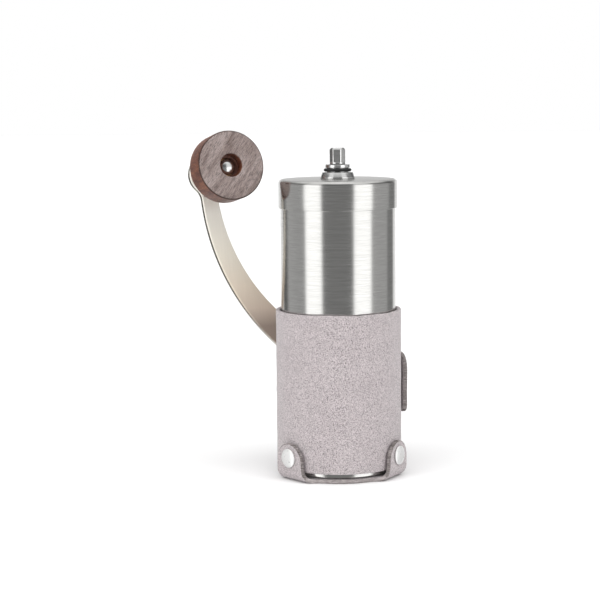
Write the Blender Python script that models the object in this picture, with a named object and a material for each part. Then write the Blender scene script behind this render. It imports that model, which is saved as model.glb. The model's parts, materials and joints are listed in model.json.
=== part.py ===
"""A hand coffee grinder in a leather carrying sleeve, standing upright with its crank stowed at the back.

The origin is the centre of the underside of the leather base, +Z is up and -Y is the front.
Lengths are in millimetres in this file and are turned into metres when a mesh is made.
A direction around the body is an angle from the front, in degrees, growing towards +X.
"""

from math import asin, atan2, cos, degrees, pi, radians, sin, sqrt, tau

import bmesh
import bpy
from mathutils import Matrix, Vector

MM = 0.001
GAP = 0.3  # running or lying clearance between neighbouring pieces

# Steel body and its cup
BODY_R = 23.7
BODY_WALL = 1.0
CUP_BOTTOM = 2.0
CUP_TOP = 58.0
BARREL_TOP = 120.5

# Lid
LID_R = 24.5
LID_WALL = 0.5
LID_TOP = 122.4
LID_SKIRT = 110.6
LID_PLATE = 1.2
COLLAR_R = 7.15
COLLAR_NECK_R = 5.1
COLLAR_TUBE_R = 4.7
COLLAR_BORE_R = 3.7
COLLAR_Z = (115.4, 128.4)
COLLAR_RIM = 0.7
COLLAR_SHOULDER_R = 6.4
O_RING_GROOVE_R = 4.5
O_RING_GROOVE_Z = (125.2, 127.0)
O_RING_WIRE = 0.6
LINER_Z = 117.6
LINER_R = 22.2
LINER_CHAMFER = (1.4, 0.8)
LID_NUT_FLATS = 14.0
LID_NUT_Z = (115.6, 117.3)

# Drive shaft
SHAFT_R = 3.0
TIP_R = 3.26
TIP_FLATS = 5.9
TIP_BOTTOM = 128.7
TIP_TOP = 135.2
DRIVE_FLATS = 5.2
THREAD_R = 2.5
THREAD_TOP = 50.2
SHAFT_BOTTOM = 43.6
DRIVE_TOP = 68.5
CLIP_GROOVE_R = 2.5
CLIP_GROOVE_Z = (77.6, 78.8)
CLIP_Z = (77.9, 78.5)
CLIP_R = 5.2
CLIP_HALF_GAP = 35
THRUST_R = 5.6
THRUST_Z = (76.6, 77.3)

# Leather
LEATHER = 1.7
SLEEVE_R = 25.9
SLEEVE_BOTTOM = 4.0
SLEEVE_TOP = 68.7
SEAM_ANGLE = 150.0
SEAM_HALF = 0.6
DISC_R = 24.6
BEND_X = 23.5
BEND_R = 4.5
TAB_ANGLES = {"left": -49.0, "right": 60.0, "back": 185.0}
TAB_HALF = 7.4
TAB_FLARE = 3.2
TAB_ROUND_AT = 9.4
TAB_SAG_R = 150.0
TAB_RIVET_Z = 9.6
DISC_FLAT_R = 19.0
TAB_DRILL = (25.0, 30.0)
SLEEVE_DRILL = (23.0, 27.0)
SLEEVE_SEAT_TO = 25.1

# Keeper strap for the crank
KEEPER_BOTTOM = 24.4
KEEPER_TOP = 49.3
KEEPER_LOW_TOP = 42.0
KEEPER_FROM = 93.0
KEEPER_TO = 243.5
KEEPER_R = SLEEVE_R + GAP
KEEPER_BULGE = 13.2
KEEPER_SIDE = 229.0
KEEPER_LIFT = 0.75
KEEPER_RIVETS = {"right": 108.0, "left": 238.0}
KEEPER_RIVET_Z = 33.2

# Rivets
RIVET_HEAD_R = 3.9
RIVET_HEAD_H = 1.1
RIVET_TUBE_R = 1.5
RIVET_HOLE_R = 1.8
RIVET_STEM_R = 0.65
RIVET_BACK_R = 3.1
RIVET_BACK_H = 0.5
RIVET_STEM = 2.6
RIVET_RIM = 0.35

# Crank: a flat plate that leans against the back of the sleeve, with the knob towards the front
CRANK_LEAN = 10.9
CRANK_TURN = 156.05
CRANK_CLEAR = 0.4
CRANK_REST_Z = 33.0
PLATE = 3.0
HUB_AT = (6.5, 10.5)
EYE_AT = (-39.6, 92.2)
HUB_R = 8.5
EYE_R = 8.8
ARM_OUTER = (51.7, 86.4, 95.3)
ARM_INNER = (42.3, 88.8, 78.9)
BOSS_R = 5.6
BOSS_BACK = 8.6
SPIGOT_R = 4.6
SOCKET_FLATS = 6.1
SOCKET_DEPTH = 6.5

# Knob, along its own axle from the plate's front face
KNOB_R = 14.4
KNOB_FRONT = 26.0
KNOB_DISC = 11.0
KNOB_NECK_R = 8.0
KNOB_WAIST_R = 7.0
KNOB_BACK = 1.6
KNOB_EDGE = 1.4
RECESS_R = 4.85
RECESS_DEPTH = 5.0
AXLE_HEAD_R = 3.4
AXLE_R = 2.2
BUSH_R = 3.6

# Burrs and their carrier
CARRIER_R = 22.35
NECK_R = 22.2
NECK_BOTTOM = 52.2
CARRIER_TOP = 78.0
CARRIER_SEAT_Z = 66.6
CARRIER_MOUTH_R = 21.4
CARRIER_THROAT_R = 16.5
CARRIER_HUB_R = 6.6
CARRIER_SPOKES_TO = 20.4
GASKET_SEAT_R = 21.3
GASKET_SEAT_Z = (54.0, 57.2)
GASKET_R = 22.4
BUSH_TUBE_R = 4.3
BUSH_Z = (71.3, 76.3)
BUSH_FLANGE = (5.6, 0.3)
BURR_SEAT_R = 19.3
OUTER_BURR_R = 19.0
OUTER_BURR_Z = (52.6, 66.2)
OUTER_BURR_BORE = (13.8, 12.4)
INNER_BURR_Z = (51.0, 66.0)
INNER_BURR_R = (12.8, 7.0)
BURR_TEETH = 16
TOOTH = 0.5
BURR_TWIST = 26.0
THROAT_FLARE = 3.4
THROAT_FOOT = 2.5
CONE_BREAK_Z = 58.5
HUB_Z = (71.9, 76.0)
SPOKES = 3
SPOKE_HALF = 2.2
RETAINER_Z = (50.2, 51.9)
RETAINER_R = (14.6, 21.9)
SCREW_CIRCLE = 20.6
SCREW_HOLE_R = 1.0
SCREW_HOLE_TOP = 53.7
BRIDGE_Z = (102.0, 106.0)
BRIDGE_R = (21.0, 22.4)
BRIDGE_HUB_R = 6.2
BRIDGE_BORE_R = 4.6

# Parts turned by hand inside the cup
NUT_Z = (44.6, 49.3)
NUT_R = 9.5
NUT_LOBES = 9
DETENT_Z = (49.6, 50.7)
DETENT_R = 8.8
SPRING_Z = (67.1, 70.7)
SPRING_R = 4.6
SPRING_WIRE = 0.45
SPRING_TURNS = 3

COLOURS = {
    "brushed_steel": ((0.58, 0.58, 0.57), 0.32, 1.0),
    "polished_steel": ((0.72, 0.72, 0.71), 0.14, 1.0),
    "arm_steel": ((0.66, 0.62, 0.55), 0.24, 1.0),
    "leather": ((0.62, 0.56, 0.56), 0.92, 0.0),
    "wood": ((0.26, 0.13, 0.08), 0.5, 0.0),
    "rubber": ((0.02, 0.02, 0.02), 0.6, 0.0),
    "silicone": ((0.75, 0.75, 0.73), 0.5, 0.0),
    "ceramic": ((0.86, 0.85, 0.82), 0.45, 0.0),
    "plastic": ((0.05, 0.05, 0.05), 0.45, 0.0),
    "bronze": ((0.5, 0.33, 0.16), 0.35, 1.0),
}


# ---------------------------------------------------------------- helpers


def clear_scene():
    for obj in list(bpy.data.objects):
        bpy.data.objects.remove(obj, do_unlink=True)


def material(name):
    found = bpy.data.materials.get(name)
    if found:
        return found
    colour, roughness, metallic = COLOURS[name]
    made = bpy.data.materials.new(name)
    made.use_nodes = True
    shader = made.node_tree.nodes["Principled BSDF"]
    shader.inputs["Base Color"].default_value = (*colour, 1.0)
    shader.inputs["Roughness"].default_value = roughness
    shader.inputs["Metallic"].default_value = metallic
    made.diffuse_color = (*colour, 1.0)
    return made


def make_object(name, bm, finish, matrix=None, parent=None):
    """Turns a bmesh in millimetres into a named object in metres."""
    bmesh.ops.scale(bm, vec=(MM, MM, MM), verts=bm.verts)
    bmesh.ops.recalc_face_normals(bm, faces=bm.faces)
    mesh = bpy.data.meshes.new(name)
    bm.to_mesh(mesh)
    bm.free()
    mesh.shade_smooth()
    mesh.set_sharp_from_angle(angle=radians(35))
    obj = bpy.data.objects.new(name, mesh)
    bpy.context.scene.collection.objects.link(obj)
    if finish:
        mesh.materials.append(material(finish))
    obj.parent = parent
    if matrix is not None:
        obj.matrix_local = matrix
    return obj


def place(x=0.0, y=0.0, z=0.0, turn=None):
    """A matrix in metres from millimetres and an optional rotation matrix."""
    shift = Matrix.Translation(Vector((x, y, z)) * MM)
    return shift @ turn.to_4x4() if turn else shift


def outward(angle):
    """The unit vector that points away from the axis at this angle from the front."""
    return Vector((sin(radians(angle)), -cos(radians(angle)), 0.0))


def turned(profile, steps):
    """A bmesh made by spinning a closed profile of (radius, height) points about Z."""
    bm = bmesh.new()
    points = [bm.verts.new((r, 0.0, z)) for r, z in profile]
    edges = [bm.edges.new((a, b)) for a, b in zip(points, points[1:] + points[:1])]
    bmesh.ops.spin(
        bm,
        geom=points + edges,
        cent=(0, 0, 0),
        axis=(0, 0, 1),
        angle=tau,
        steps=steps,
        use_duplicate=False,
    )
    bmesh.ops.remove_doubles(bm, verts=bm.verts, dist=1e-4)
    loose = [e for e in bm.edges if not e.link_faces]
    bmesh.ops.delete(bm, geom=loose, context="EDGES")
    return bm


def lathe(name, profile, finish, steps=24, **where):
    return make_object(name, turned(profile, steps), finish, **where)


def ring_profile(r_in, r_out, z0, z1):
    return [(r_in, z0), (r_out, z0), (r_out, z1), (r_in, z1)]


def prism(outline, z0, z1):
    """A bmesh made by extruding a flat outline from z0 to z1."""
    bm = bmesh.new()
    face = bm.faces.new([bm.verts.new((x, y, z0)) for x, y in outline])
    made = bmesh.ops.extrude_face_region(bm, geom=[face])
    moved = [v for v in made["geom"] if isinstance(v, bmesh.types.BMVert)]
    bmesh.ops.translate(bm, verts=moved, vec=(0, 0, z1 - z0))
    return bm


def circle(radius, sides, centre=(0.0, 0.0), start=0.0):
    return [
        (
            centre[0] + radius * cos(start + tau * i / sides),
            centre[1] + radius * sin(start + tau * i / sides),
        )
        for i in range(sides)
    ]


def hexagon(across_flats, start=0.0):
    return circle(across_flats / sqrt(3), 6, start=start)


def boolean(obj, cutter, operation="DIFFERENCE"):
    """Joins or cuts with a helper object that stays out of the model."""
    cutter.hide_render = True
    cutter.display_type = "WIRE"
    modifier = obj.modifiers.new(operation.title(), "BOOLEAN")
    modifier.operation = operation
    modifier.solver = "EXACT"
    modifier.object = cutter


def smoothstep(t):
    t = min(max(t, 0.0), 1.0)
    return t * t * (3 - 2 * t)


# ---------------------------------------------------------------- leather


def tab_half_width(t):
    """Half the width of a base tab, t from the start of its bend along the leather."""
    if t <= TAB_ROUND_AT:
        return TAB_HALF + TAB_FLARE * ((TAB_ROUND_AT - t) / TAB_ROUND_AT) ** 2
    return sqrt(max(TAB_HALF**2 - (t - TAB_ROUND_AT) ** 2, 0.0))


def cradle_reach(offset):
    """Distance from the centre to the edge of the flat leather pattern, offset degrees from a tab's middle."""
    side = abs(sin(radians(offset)))
    along = cos(radians(offset))
    if along <= 0:
        return DISC_R
    round_x = BEND_X + TAB_ROUND_AT
    if abs(offset) < degrees(asin(TAB_HALF / round_x)):
        return round_x * along + sqrt(TAB_HALF**2 - (round_x * side) ** 2)
    reach = DISC_R
    steps = 200
    for i in range(steps):
        r = DISC_R + (round_x - DISC_R) * i / steps
        if r * side <= tab_half_width(r * along - BEND_X):
            reach = r
    return reach


def folded(x, y, lift):
    """A point of the flat pattern, lift above its underside, folded up where it passes a tab's bend line."""
    for angle in TAB_ANGLES.values():
        out = outward(angle)
        side = Vector((-out.y, out.x, 0.0))
        along = x * out.x + y * out.y
        across = x * side.x + y * side.y
        t = along - BEND_X
        if t <= 0 or abs(across) > 2 * TAB_HALF:
            continue
        mid = BEND_R - LEATHER / 2
        bend = min(t / mid, pi / 2)
        run = BEND_X + (BEND_R - lift) * sin(bend)
        rise = BEND_R - (BEND_R - lift) * cos(bend) + max(t - mid * pi / 2, 0.0)
        run -= across**2 / (2 * TAB_SAG_R) * smoothstep(rise / BEND_R)
        return out * run + side * across + Vector((0, 0, rise))
    return Vector((x, y, lift))


def cradle_angles():
    """Angles around the flat pattern, closer together on the tabs."""
    found = set()
    offsets = [0, 5, 9.5, 12.8, 16, 20, 24, 30, 38, 48]
    for angle in TAB_ANGLES.values():
        for offset in offsets:
            found.add((angle + offset) % 360)
            found.add((angle - offset) % 360)
    return sorted(found)


def add_cradle():
    """The leather base: a disc cut in one piece with three tabs that fold up outside the sleeve."""
    bm = bmesh.new()
    shares = [0.2, 0.29, 0.38, 0.47, 0.72, 1.0]
    layers = []
    for lift in (0.0, LEATHER):
        centre = bm.verts.new((0, 0, lift))
        spokes = []
        for angle in cradle_angles():
            offset = min(
                ((angle - a + 180) % 360 - 180 for a in TAB_ANGLES.values()), key=abs
            )
            reach = cradle_reach(offset)
            radii = [DISC_FLAT_R] + [DISC_FLAT_R + (reach - DISC_FLAT_R) * s for s in shares]
            out = outward(angle)
            spokes.append([bm.verts.new(folded(out.x * r, out.y * r, lift)) for r in radii])
        layers.append((centre, spokes))
    for centre, spokes in layers:
        for a, b in zip(spokes, spokes[1:] + spokes[:1]):
            bm.faces.new((centre, a[0], b[0]))
            for i in range(len(a) - 1):
                bm.faces.new((a[i], a[i + 1], b[i + 1], b[i]))
    low, high = layers[0][1], layers[1][1]
    for i in range(len(low)):
        j = (i + 1) % len(low)
        bm.faces.new((low[i][-1], low[j][-1], high[j][-1], high[i][-1]))
    cradle = make_object("base_cradle", bm, "leather")
    for name, angle in TAB_ANGLES.items():
        drill(cradle, f"tab_hole_{name}", angle, TAB_RIVET_Z, *TAB_DRILL, RIVET_HOLE_R)


def radial_turn(angle):
    """Rotation that takes local +Z to the outward direction at this angle."""
    return outward(angle).to_track_quat("Z", "Y").to_matrix()


def drill(obj, name, angle, height, r0, r1, radius):
    """Cuts a round hole from r0 to r1 along the outward direction."""
    bm = prism(circle(radius, 12), r0, r1)
    boolean(obj, make_object(name, bm, None, matrix=place(z=height, turn=radial_turn(angle))))


def curved_band(name, reach, z0, z1, a0, a1, steps):
    """A strip of leather from a0 to a1 degrees, with inner radius reach(angle) and top edge z1(angle)."""
    bm = bmesh.new()
    rows = []
    for i in range(steps + 1):
        angle = a0 + (a1 - a0) * i / steps
        out = outward(angle)
        inner = out * reach(angle)
        slope = outward(angle + 0.5) * reach(angle + 0.5) - outward(angle - 0.5) * reach(angle - 0.5)
        normal = Vector((slope.y, -slope.x, 0.0)).normalized()
        if normal.dot(out) < 0:
            normal = -normal
        outer = inner + normal * LEATHER
        top = z1(angle)
        corners = [(inner, z0), (outer, z0), (outer, top), (inner, top)]
        rows.append([bm.verts.new((p.x, p.y, z)) for p, z in corners])
    for a, b in zip(rows, rows[1:]):
        for i in range(4):
            j = (i + 1) % 4
            bm.faces.new((a[i], a[j], b[j], b[i]))
    bm.faces.new(rows[0])
    bm.faces.new(rows[-1])
    return make_object(name, bm, "leather")


def sleeve_reach(_angle):
    return SLEEVE_R - LEATHER


def sleeve_top(_angle):
    return SLEEVE_TOP


def keeper_reach(angle):
    """Inner radius of the keeper: flat on the sleeve at its ends and bulged out over the crank's hub."""
    rise = smoothstep((angle - 118.0) / 50.0) * smoothstep((KEEPER_SIDE - angle) / 13.0)
    first = KEEPER_RIVETS["right"]
    lift = max((first - angle) / (first - KEEPER_FROM), 0.0) ** 2
    return KEEPER_R + KEEPER_BULGE * rise + KEEPER_LIFT * lift


def keeper_top(angle):
    """Height of the keeper's top edge, which drops on the left where the crank's arm comes out."""
    return KEEPER_TOP - (KEEPER_TOP - KEEPER_LOW_TOP) * smoothstep((angle - 165.0) / 38.0)


def add_leather():
    sleeve = curved_band(
        "sleeve",
        sleeve_reach,
        SLEEVE_BOTTOM,
        sleeve_top,
        SEAM_ANGLE + SEAM_HALF,
        SEAM_ANGLE + 360 - SEAM_HALF,
        48,
    )
    keeper = curved_band(
        "keeper_strap", keeper_reach, KEEPER_BOTTOM, keeper_top, KEEPER_FROM, KEEPER_TO, 48
    )
    seats = [(f"base_{n}", a, TAB_RIVET_Z) for n, a in TAB_ANGLES.items()]
    seats += [(f"keeper_{n}", a, KEEPER_RIVET_Z) for n, a in KEEPER_RIVETS.items()]
    for name, angle, height in seats:
        drill(sleeve, f"sleeve_hole_{name}", angle, height, *SLEEVE_DRILL, RIVET_HOLE_R)
        drill(sleeve, f"sleeve_seat_{name}", angle, height, SLEEVE_DRILL[0], SLEEVE_SEAT_TO, RIVET_BACK_R + GAP)
    for name, angle in KEEPER_RIVETS.items():
        drill(keeper, f"keeper_hole_{name}", angle, KEEPER_RIVET_Z, *TAB_DRILL, RIVET_HOLE_R)
    add_cradle()
    for name, angle, height in seats:
        add_rivet(name, angle, height)


def add_rivet(name, angle, height):
    """A two-piece rivet: a domed cap whose stem enters a flanged tube from inside the sleeve."""
    where = {"matrix": place(z=height, turn=radial_turn(angle))}
    face = SLEEVE_R + GAP + LEATHER + GAP
    dome = [
        (RIVET_HEAD_R * cos(t), face + RIVET_RIM + (RIVET_HEAD_H - RIVET_RIM) * sin(t))
        for t in (0.0, 0.35, 0.7, 1.05)
    ]
    cap = [(0.0, face - RIVET_STEM), (RIVET_STEM_R, face - RIVET_STEM), (RIVET_STEM_R, face)]
    cap += [(RIVET_HEAD_R, face), *dome, (0.0, face + RIVET_HEAD_H)]
    lathe(f"{name}_rivet", cap, "polished_steel", steps=14, **where)
    back = SLEEVE_R - LEATHER + 0.1
    top = SLEEVE_R + GAP + LEATHER - GAP
    tube = [(0.0, back), (RIVET_BACK_R, back), (RIVET_BACK_R, back + RIVET_BACK_H)]
    tube += [(RIVET_TUBE_R, back + RIVET_BACK_H), (RIVET_TUBE_R, top)]
    tube += [(RIVET_STEM_R + GAP, top), (RIVET_STEM_R + GAP, back + RIVET_BACK_H)]
    tube += [(0.0, back + RIVET_BACK_H)]
    lathe(f"{name}_rivet_post", tube, "polished_steel", steps=12, **where)


# ---------------------------------------------------------------- steel body


def add_cup():
    inside = BODY_R - BODY_WALL
    floor = CUP_BOTTOM + BODY_WALL
    profile = [(0, CUP_BOTTOM), (BODY_R - 1.6, CUP_BOTTOM), (BODY_R, CUP_BOTTOM + 1.6)]
    profile += [(BODY_R, CUP_TOP), (inside, CUP_TOP), (inside, floor + 1.0)]
    profile += [(inside - 1.0, floor), (0, floor)]
    lathe("receiver_cup", profile, "brushed_steel", steps=40)


def add_barrel():
    inside = BODY_R - BODY_WALL
    profile = ring_profile(inside, BODY_R, CUP_TOP + GAP, BARREL_TOP)
    lathe("barrel", profile, "brushed_steel", steps=40)


def add_lid():
    hole = COLLAR_TUBE_R + GAP
    inside = LID_R - LID_WALL
    edge = 1.3
    under = LID_TOP - LID_PLATE
    profile = [(hole, LID_TOP), (hole, under), (inside - 0.6, under), (inside, under - 0.6)]
    profile += [(inside, LID_SKIRT), (LID_R, LID_SKIRT), (LID_R, LID_TOP - edge)]
    profile += [(LID_R - 0.4, LID_TOP - 0.4), (LID_R - edge, LID_TOP)]
    lathe("lid_cap", profile, "brushed_steel", steps=40)

    flange = LID_TOP + GAP
    foot, top = COLLAR_Z
    low, high = O_RING_GROOVE_Z
    collar = [(COLLAR_BORE_R, foot), (COLLAR_TUBE_R, foot), (COLLAR_TUBE_R, flange)]
    collar += [(COLLAR_R, flange), (COLLAR_R, flange + COLLAR_RIM), (COLLAR_SHOULDER_R, low)]
    collar += [(O_RING_GROOVE_R, low), (O_RING_GROOVE_R, high), (COLLAR_NECK_R, high)]
    collar += [(COLLAR_NECK_R, top), (COLLAR_BORE_R, top)]
    lathe("lid_collar", collar, "polished_steel", steps=24)

    middle = (O_RING_GROOVE_R + GAP + O_RING_WIRE, (low + high) / 2)
    section = circle(O_RING_WIRE, 6, middle)
    lathe("lid_o_ring", section, "rubber", steps=24)

    across, up = LINER_CHAMFER
    liner = [(hole, LINER_Z), (LINER_R - across, LINER_Z), (LINER_R, LINER_Z + up)]
    liner += [(LINER_R, under - GAP), (hole, under - GAP)]
    lathe("lid_liner", liner, "plastic", steps=36)

    low, high = LID_NUT_Z
    nut = make_object("lid_nut", prism(hexagon(LID_NUT_FLATS), low, high), "polished_steel")
    boolean(nut, make_object("lid_nut_hole", prism(circle(hole, 24), low - 1, high + 1), None))


# ---------------------------------------------------------------- burr set


def spider(profile, hub_r, hub_z, wall_r, name, finish):
    """A turned ring with a central hub held by three spokes."""
    ring = lathe(name, profile, finish, steps=36)
    z0, z1 = hub_z
    middle = make_object(f"{name}_hub", prism(circle(hub_r, 32), z0, z1), None)
    boolean(ring, middle, "UNION")
    for i in range(SPOKES):
        angle = tau * i / SPOKES + pi / 2
        start = hub_r - 1.0
        outline = [(start, -SPOKE_HALF), (wall_r, -SPOKE_HALF), (wall_r, SPOKE_HALF), (start, SPOKE_HALF)]
        turn = Matrix.Rotation(angle, 3, "Z")
        bm = prism(outline, z0 + 0.2, z1 - 0.2)
        spoke = make_object(f"{name}_spoke_{i}", bm, None, matrix=place(turn=turn))
        boolean(ring, spoke, "UNION")
    return ring


def add_carrier():
    low, high = GASKET_SEAT_Z
    profile = [(BURR_SEAT_R, NECK_BOTTOM), (NECK_R, NECK_BOTTOM), (NECK_R, low), (GASKET_SEAT_R, low)]
    profile += [(GASKET_SEAT_R, high), (CARRIER_R, high), (CARRIER_R, CARRIER_TOP)]
    profile += [(CARRIER_MOUTH_R, CARRIER_TOP), (CARRIER_THROAT_R, CARRIER_SEAT_Z)]
    profile += [(BURR_SEAT_R, CARRIER_SEAT_Z)]
    carrier = spider(profile, CARRIER_HUB_R, HUB_Z, CARRIER_SPOKES_TO, "burr_carrier", "plastic")
    bore = prism(circle(BUSH_TUBE_R + GAP, 24), HUB_Z[0] - 1, HUB_Z[1] + 1)
    boolean(carrier, make_object("carrier_bore", bore, None))
    for i in range(SPOKES):
        hole = prism(circle(SCREW_HOLE_R, 10), NECK_BOTTOM - 0.5, SCREW_HOLE_TOP)
        turn = Matrix.Rotation(tau * i / SPOKES, 3, "Z")
        centre = turn @ Vector((SCREW_CIRCLE, 0, 0))
        where = place(centre.x, centre.y)
        boolean(carrier, make_object(f"carrier_hole_{i}", hole, None, matrix=where))

    gasket = ring_profile(GASKET_SEAT_R + GAP, GASKET_R, low + GAP, high - GAP)
    lathe("cup_gasket", gasket, "silicone", steps=36)

    foot, top = BUSH_Z
    flange_r, flange = BUSH_FLANGE
    bush = [(SHAFT_R + GAP, foot), (flange_r, foot), (flange_r, foot + flange)]
    bush += [(BUSH_TUBE_R, foot + flange), (BUSH_TUBE_R, top), (SHAFT_R + GAP, top)]
    lathe("bearing_bush", bush, "bronze", steps=24)


def ridge(bm, twist, z0, z1, r_in, r_out):
    """Pushes in every other column of the vertices between two radii and twists the columns with height."""
    for vert in bm.verts:
        radius = sqrt(vert.co.x**2 + vert.co.y**2)
        if not r_in < radius < r_out:
            continue
        angle = atan2(vert.co.y, vert.co.x)
        column = round(angle / (pi / BURR_TEETH)) % 2
        radius -= TOOTH * column
        angle += radians(twist) * (vert.co.z - z0) / (z1 - z0)
        vert.co.x = radius * cos(angle)
        vert.co.y = radius * sin(angle)


def add_burrs():
    z0, z1 = OUTER_BURR_Z
    low, high = OUTER_BURR_BORE
    middle = (z0 + z1) / 2
    profile = [(low, z0), (OUTER_BURR_R, z0), (OUTER_BURR_R, z1), (high + THROAT_FLARE, z1)]
    profile += [(high + TOOTH, middle + THROAT_FOOT), ((low + high) / 2, middle)]
    bm = turned(profile, 2 * BURR_TEETH)
    ridge(bm, -BURR_TWIST, z0, z1, 0.0, OUTER_BURR_R - 1)
    make_object("outer_burr", bm, "ceramic")

    z0, z1 = INNER_BURR_Z
    low, high = INNER_BURR_R
    top = z1 - 0.4
    bore = DRIVE_FLATS / sqrt(3) + GAP
    profile = [(bore, z0), (low - 1.0, z0), (low, z0 + 1.0), (low - 0.6, CONE_BREAK_Z)]
    profile += [(high, top), (bore, top)]
    bm = turned(profile, 2 * BURR_TEETH)
    ridge(bm, BURR_TWIST, z0, z1, bore + 1, OUTER_BURR_R)
    make_object("inner_burr", bm, "ceramic")

    foot, top = RETAINER_Z
    bore, rim = RETAINER_R
    ring = make_object("burr_retainer", prism(circle(rim, 36), foot, top), "polished_steel")
    boolean(ring, make_object("retainer_bore", prism(circle(bore, 28), foot - 1, top + 1), None))
    for i in range(SPOKES):
        turn = Matrix.Rotation(tau * i / SPOKES, 3, "Z")
        centre = turn @ Vector((SCREW_CIRCLE, 0, 0))
        where = {"matrix": place(centre.x, centre.y)}
        hole = prism(circle(SCREW_HOLE_R, 12), foot - 1, top + 1)
        boolean(ring, make_object(f"retainer_hole_{i}", hole, None, **where))
        head, under, tip = foot - 1.6, foot - GAP, SCREW_HOLE_TOP - GAP
        screw = [(0, head), (1.0, head), (1.3, head + 0.3), (1.3, under)]
        screw += [(0.7, under), (0.7, tip), (0, tip)]
        lathe(f"retainer_screw_{i + 1}", screw, "polished_steel", steps=12, **where)


def add_bridge():
    """The upper bearing: a ring pressed into the barrel with three spokes and a bush."""
    z0, z1 = BRIDGE_Z
    profile = ring_profile(*BRIDGE_R, z0, z1)
    spokes_to = BRIDGE_R[0] + 0.6
    bridge = spider(profile, BRIDGE_HUB_R, (z0 + 0.4, z1 - 0.4), spokes_to, "upper_bridge", "plastic")
    boolean(bridge, make_object("bridge_bore", prism(circle(BRIDGE_BORE_R, 24), z0 - 1, z1 + 1), None))
    lathe("upper_bush", ring_profile(SHAFT_R + GAP, BUSH_TUBE_R, z0 + 0.2, z1 - 0.2), "bronze", steps=24)


# ---------------------------------------------------------------- shaft


def add_shaft():
    """A round rod, hexagonal where it drives the burr and where the crank fits on."""
    low, high = CLIP_GROOVE_Z
    rod = [(0, SHAFT_BOTTOM), (THREAD_R - 0.4, SHAFT_BOTTOM), (THREAD_R, SHAFT_BOTTOM + 0.4)]
    rod += [(THREAD_R, THREAD_TOP), (SHAFT_R, THREAD_TOP), (SHAFT_R, low), (CLIP_GROOVE_R, low)]
    rod += [(CLIP_GROOVE_R, high), (SHAFT_R, high), (SHAFT_R, TIP_BOTTOM), (TIP_R, TIP_BOTTOM)]
    rod += [(TIP_R, TIP_TOP - 0.7), (TIP_R - 0.7, TIP_TOP), (0, TIP_TOP)]
    shaft = lathe("drive_shaft", rod, "polished_steel", steps=24)
    drive = (DRIVE_FLATS, THREAD_TOP, DRIVE_TOP, 0.0)
    tip = (TIP_FLATS, TIP_BOTTOM + 0.5, TIP_TOP + 1, radians(-8))
    for k, (flats, z0, z1, start) in enumerate((drive, tip)):
        for i in range(6):
            outline = [(flats / 2, -4), (6, -4), (6, 4), (flats / 2, 4)]
            turn = Matrix.Rotation(tau * i / 6 + start + pi / 6, 3, "Z")
            cutter = prism(outline, z0, z1)
            boolean(shaft, make_object(f"shaft_flat_{k}_{i}", cutter, None, matrix=place(turn=turn)))

    washer = ring_profile(SHAFT_R + GAP, THRUST_R, *THRUST_Z)
    lathe("thrust_washer", washer, "polished_steel", steps=24)

    angles = range(CLIP_HALF_GAP, 361 - CLIP_HALF_GAP, 29)
    outer = [outward(a) * CLIP_R for a in angles]
    inner = [outward(a) * (CLIP_GROOVE_R + GAP) for a in angles]
    outline = [(p.x, p.y) for p in outer + inner[::-1]]
    make_object("retaining_clip", prism(outline, *CLIP_Z), "polished_steel")


def add_adjuster():
    """The star nut that sets the grind, the notched washer above it and the spring above the burr."""
    z0, z1 = NUT_Z
    steps = 4 * NUT_LOBES
    star = []
    for i in range(steps):
        angle = tau * i / steps
        radius = NUT_R - 0.9 + 0.9 * cos(NUT_LOBES * angle)
        star.append((radius * cos(angle), radius * sin(angle)))
    nut = make_object("adjusting_nut", prism(star, z0, z1), "plastic")
    boolean(nut, make_object("nut_hole", prism(circle(THREAD_R + GAP, 20), z0 - 1, z1 + 1), None))

    washer = make_object("detent_washer", prism(circle(DETENT_R, 24), *DETENT_Z), "polished_steel")
    bore = prism(hexagon(DRIVE_FLATS + 2 * GAP + 0.2), DETENT_Z[0] - 1, DETENT_Z[1] + 1)
    boolean(washer, make_object("washer_bore", bore, None))

    add_spring()


def add_spring():
    z0, z1 = SPRING_Z
    per_turn = 12
    sides = 5
    bm = bmesh.new()
    rows = []
    for i in range(SPRING_TURNS * per_turn + 1):
        angle = tau * i / per_turn
        height = z0 + (z1 - z0) * i / (SPRING_TURNS * per_turn)
        row = []
        for c, s in circle(SPRING_WIRE, sides):
            radius = SPRING_R + c
            row.append(bm.verts.new((radius * cos(angle), radius * sin(angle), height + s)))
        rows.append(row)
    for a, b in zip(rows, rows[1:]):
        for i in range(sides):
            j = (i + 1) % sides
            bm.faces.new((a[i], a[j], b[j], b[i]))
    bm.faces.new(rows[0])
    bm.faces.new(rows[-1])
    make_object("burr_spring", bm, "polished_steel")


# ---------------------------------------------------------------- crank


def crank_frame():
    """An empty on the plate's front face: X runs across the plate, Y up along it and Z towards the knob."""
    back = outward(-CRANK_TURN)
    facing = -back * cos(radians(CRANK_LEAN)) + Vector((0, 0, sin(radians(CRANK_LEAN))))
    across = Vector((-back.y, back.x, 0.0))
    across = across if across.x > 0 else -across
    along = facing.cross(across)
    turn = Matrix((across, along, facing)).transposed()
    start = back * (SLEEVE_R + CRANK_CLEAR)
    empty = bpy.data.objects.new("crank_frame", None)
    bpy.context.scene.collection.objects.link(empty)
    empty.matrix_world = place(start.x, start.y, CRANK_REST_Z, turn)
    return empty


def arm_outline():
    """The curved bar between its two rounded ends, bounded by an outer and an inner arc."""
    steps = 12
    points = []
    for cx, cy, radius in (ARM_OUTER, ARM_INNER):
        first = atan2(EYE_AT[1] - cy, EYE_AT[0] - cx) % tau
        last = atan2(HUB_AT[1] - cy, HUB_AT[0] - cx) % tau
        angles = [first + (last - first) * i / steps for i in range(steps + 1)]
        side = [(cx + radius * cos(a), cy + radius * sin(a)) for a in angles]
        points += side if not points else side[::-1]
    return points


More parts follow.
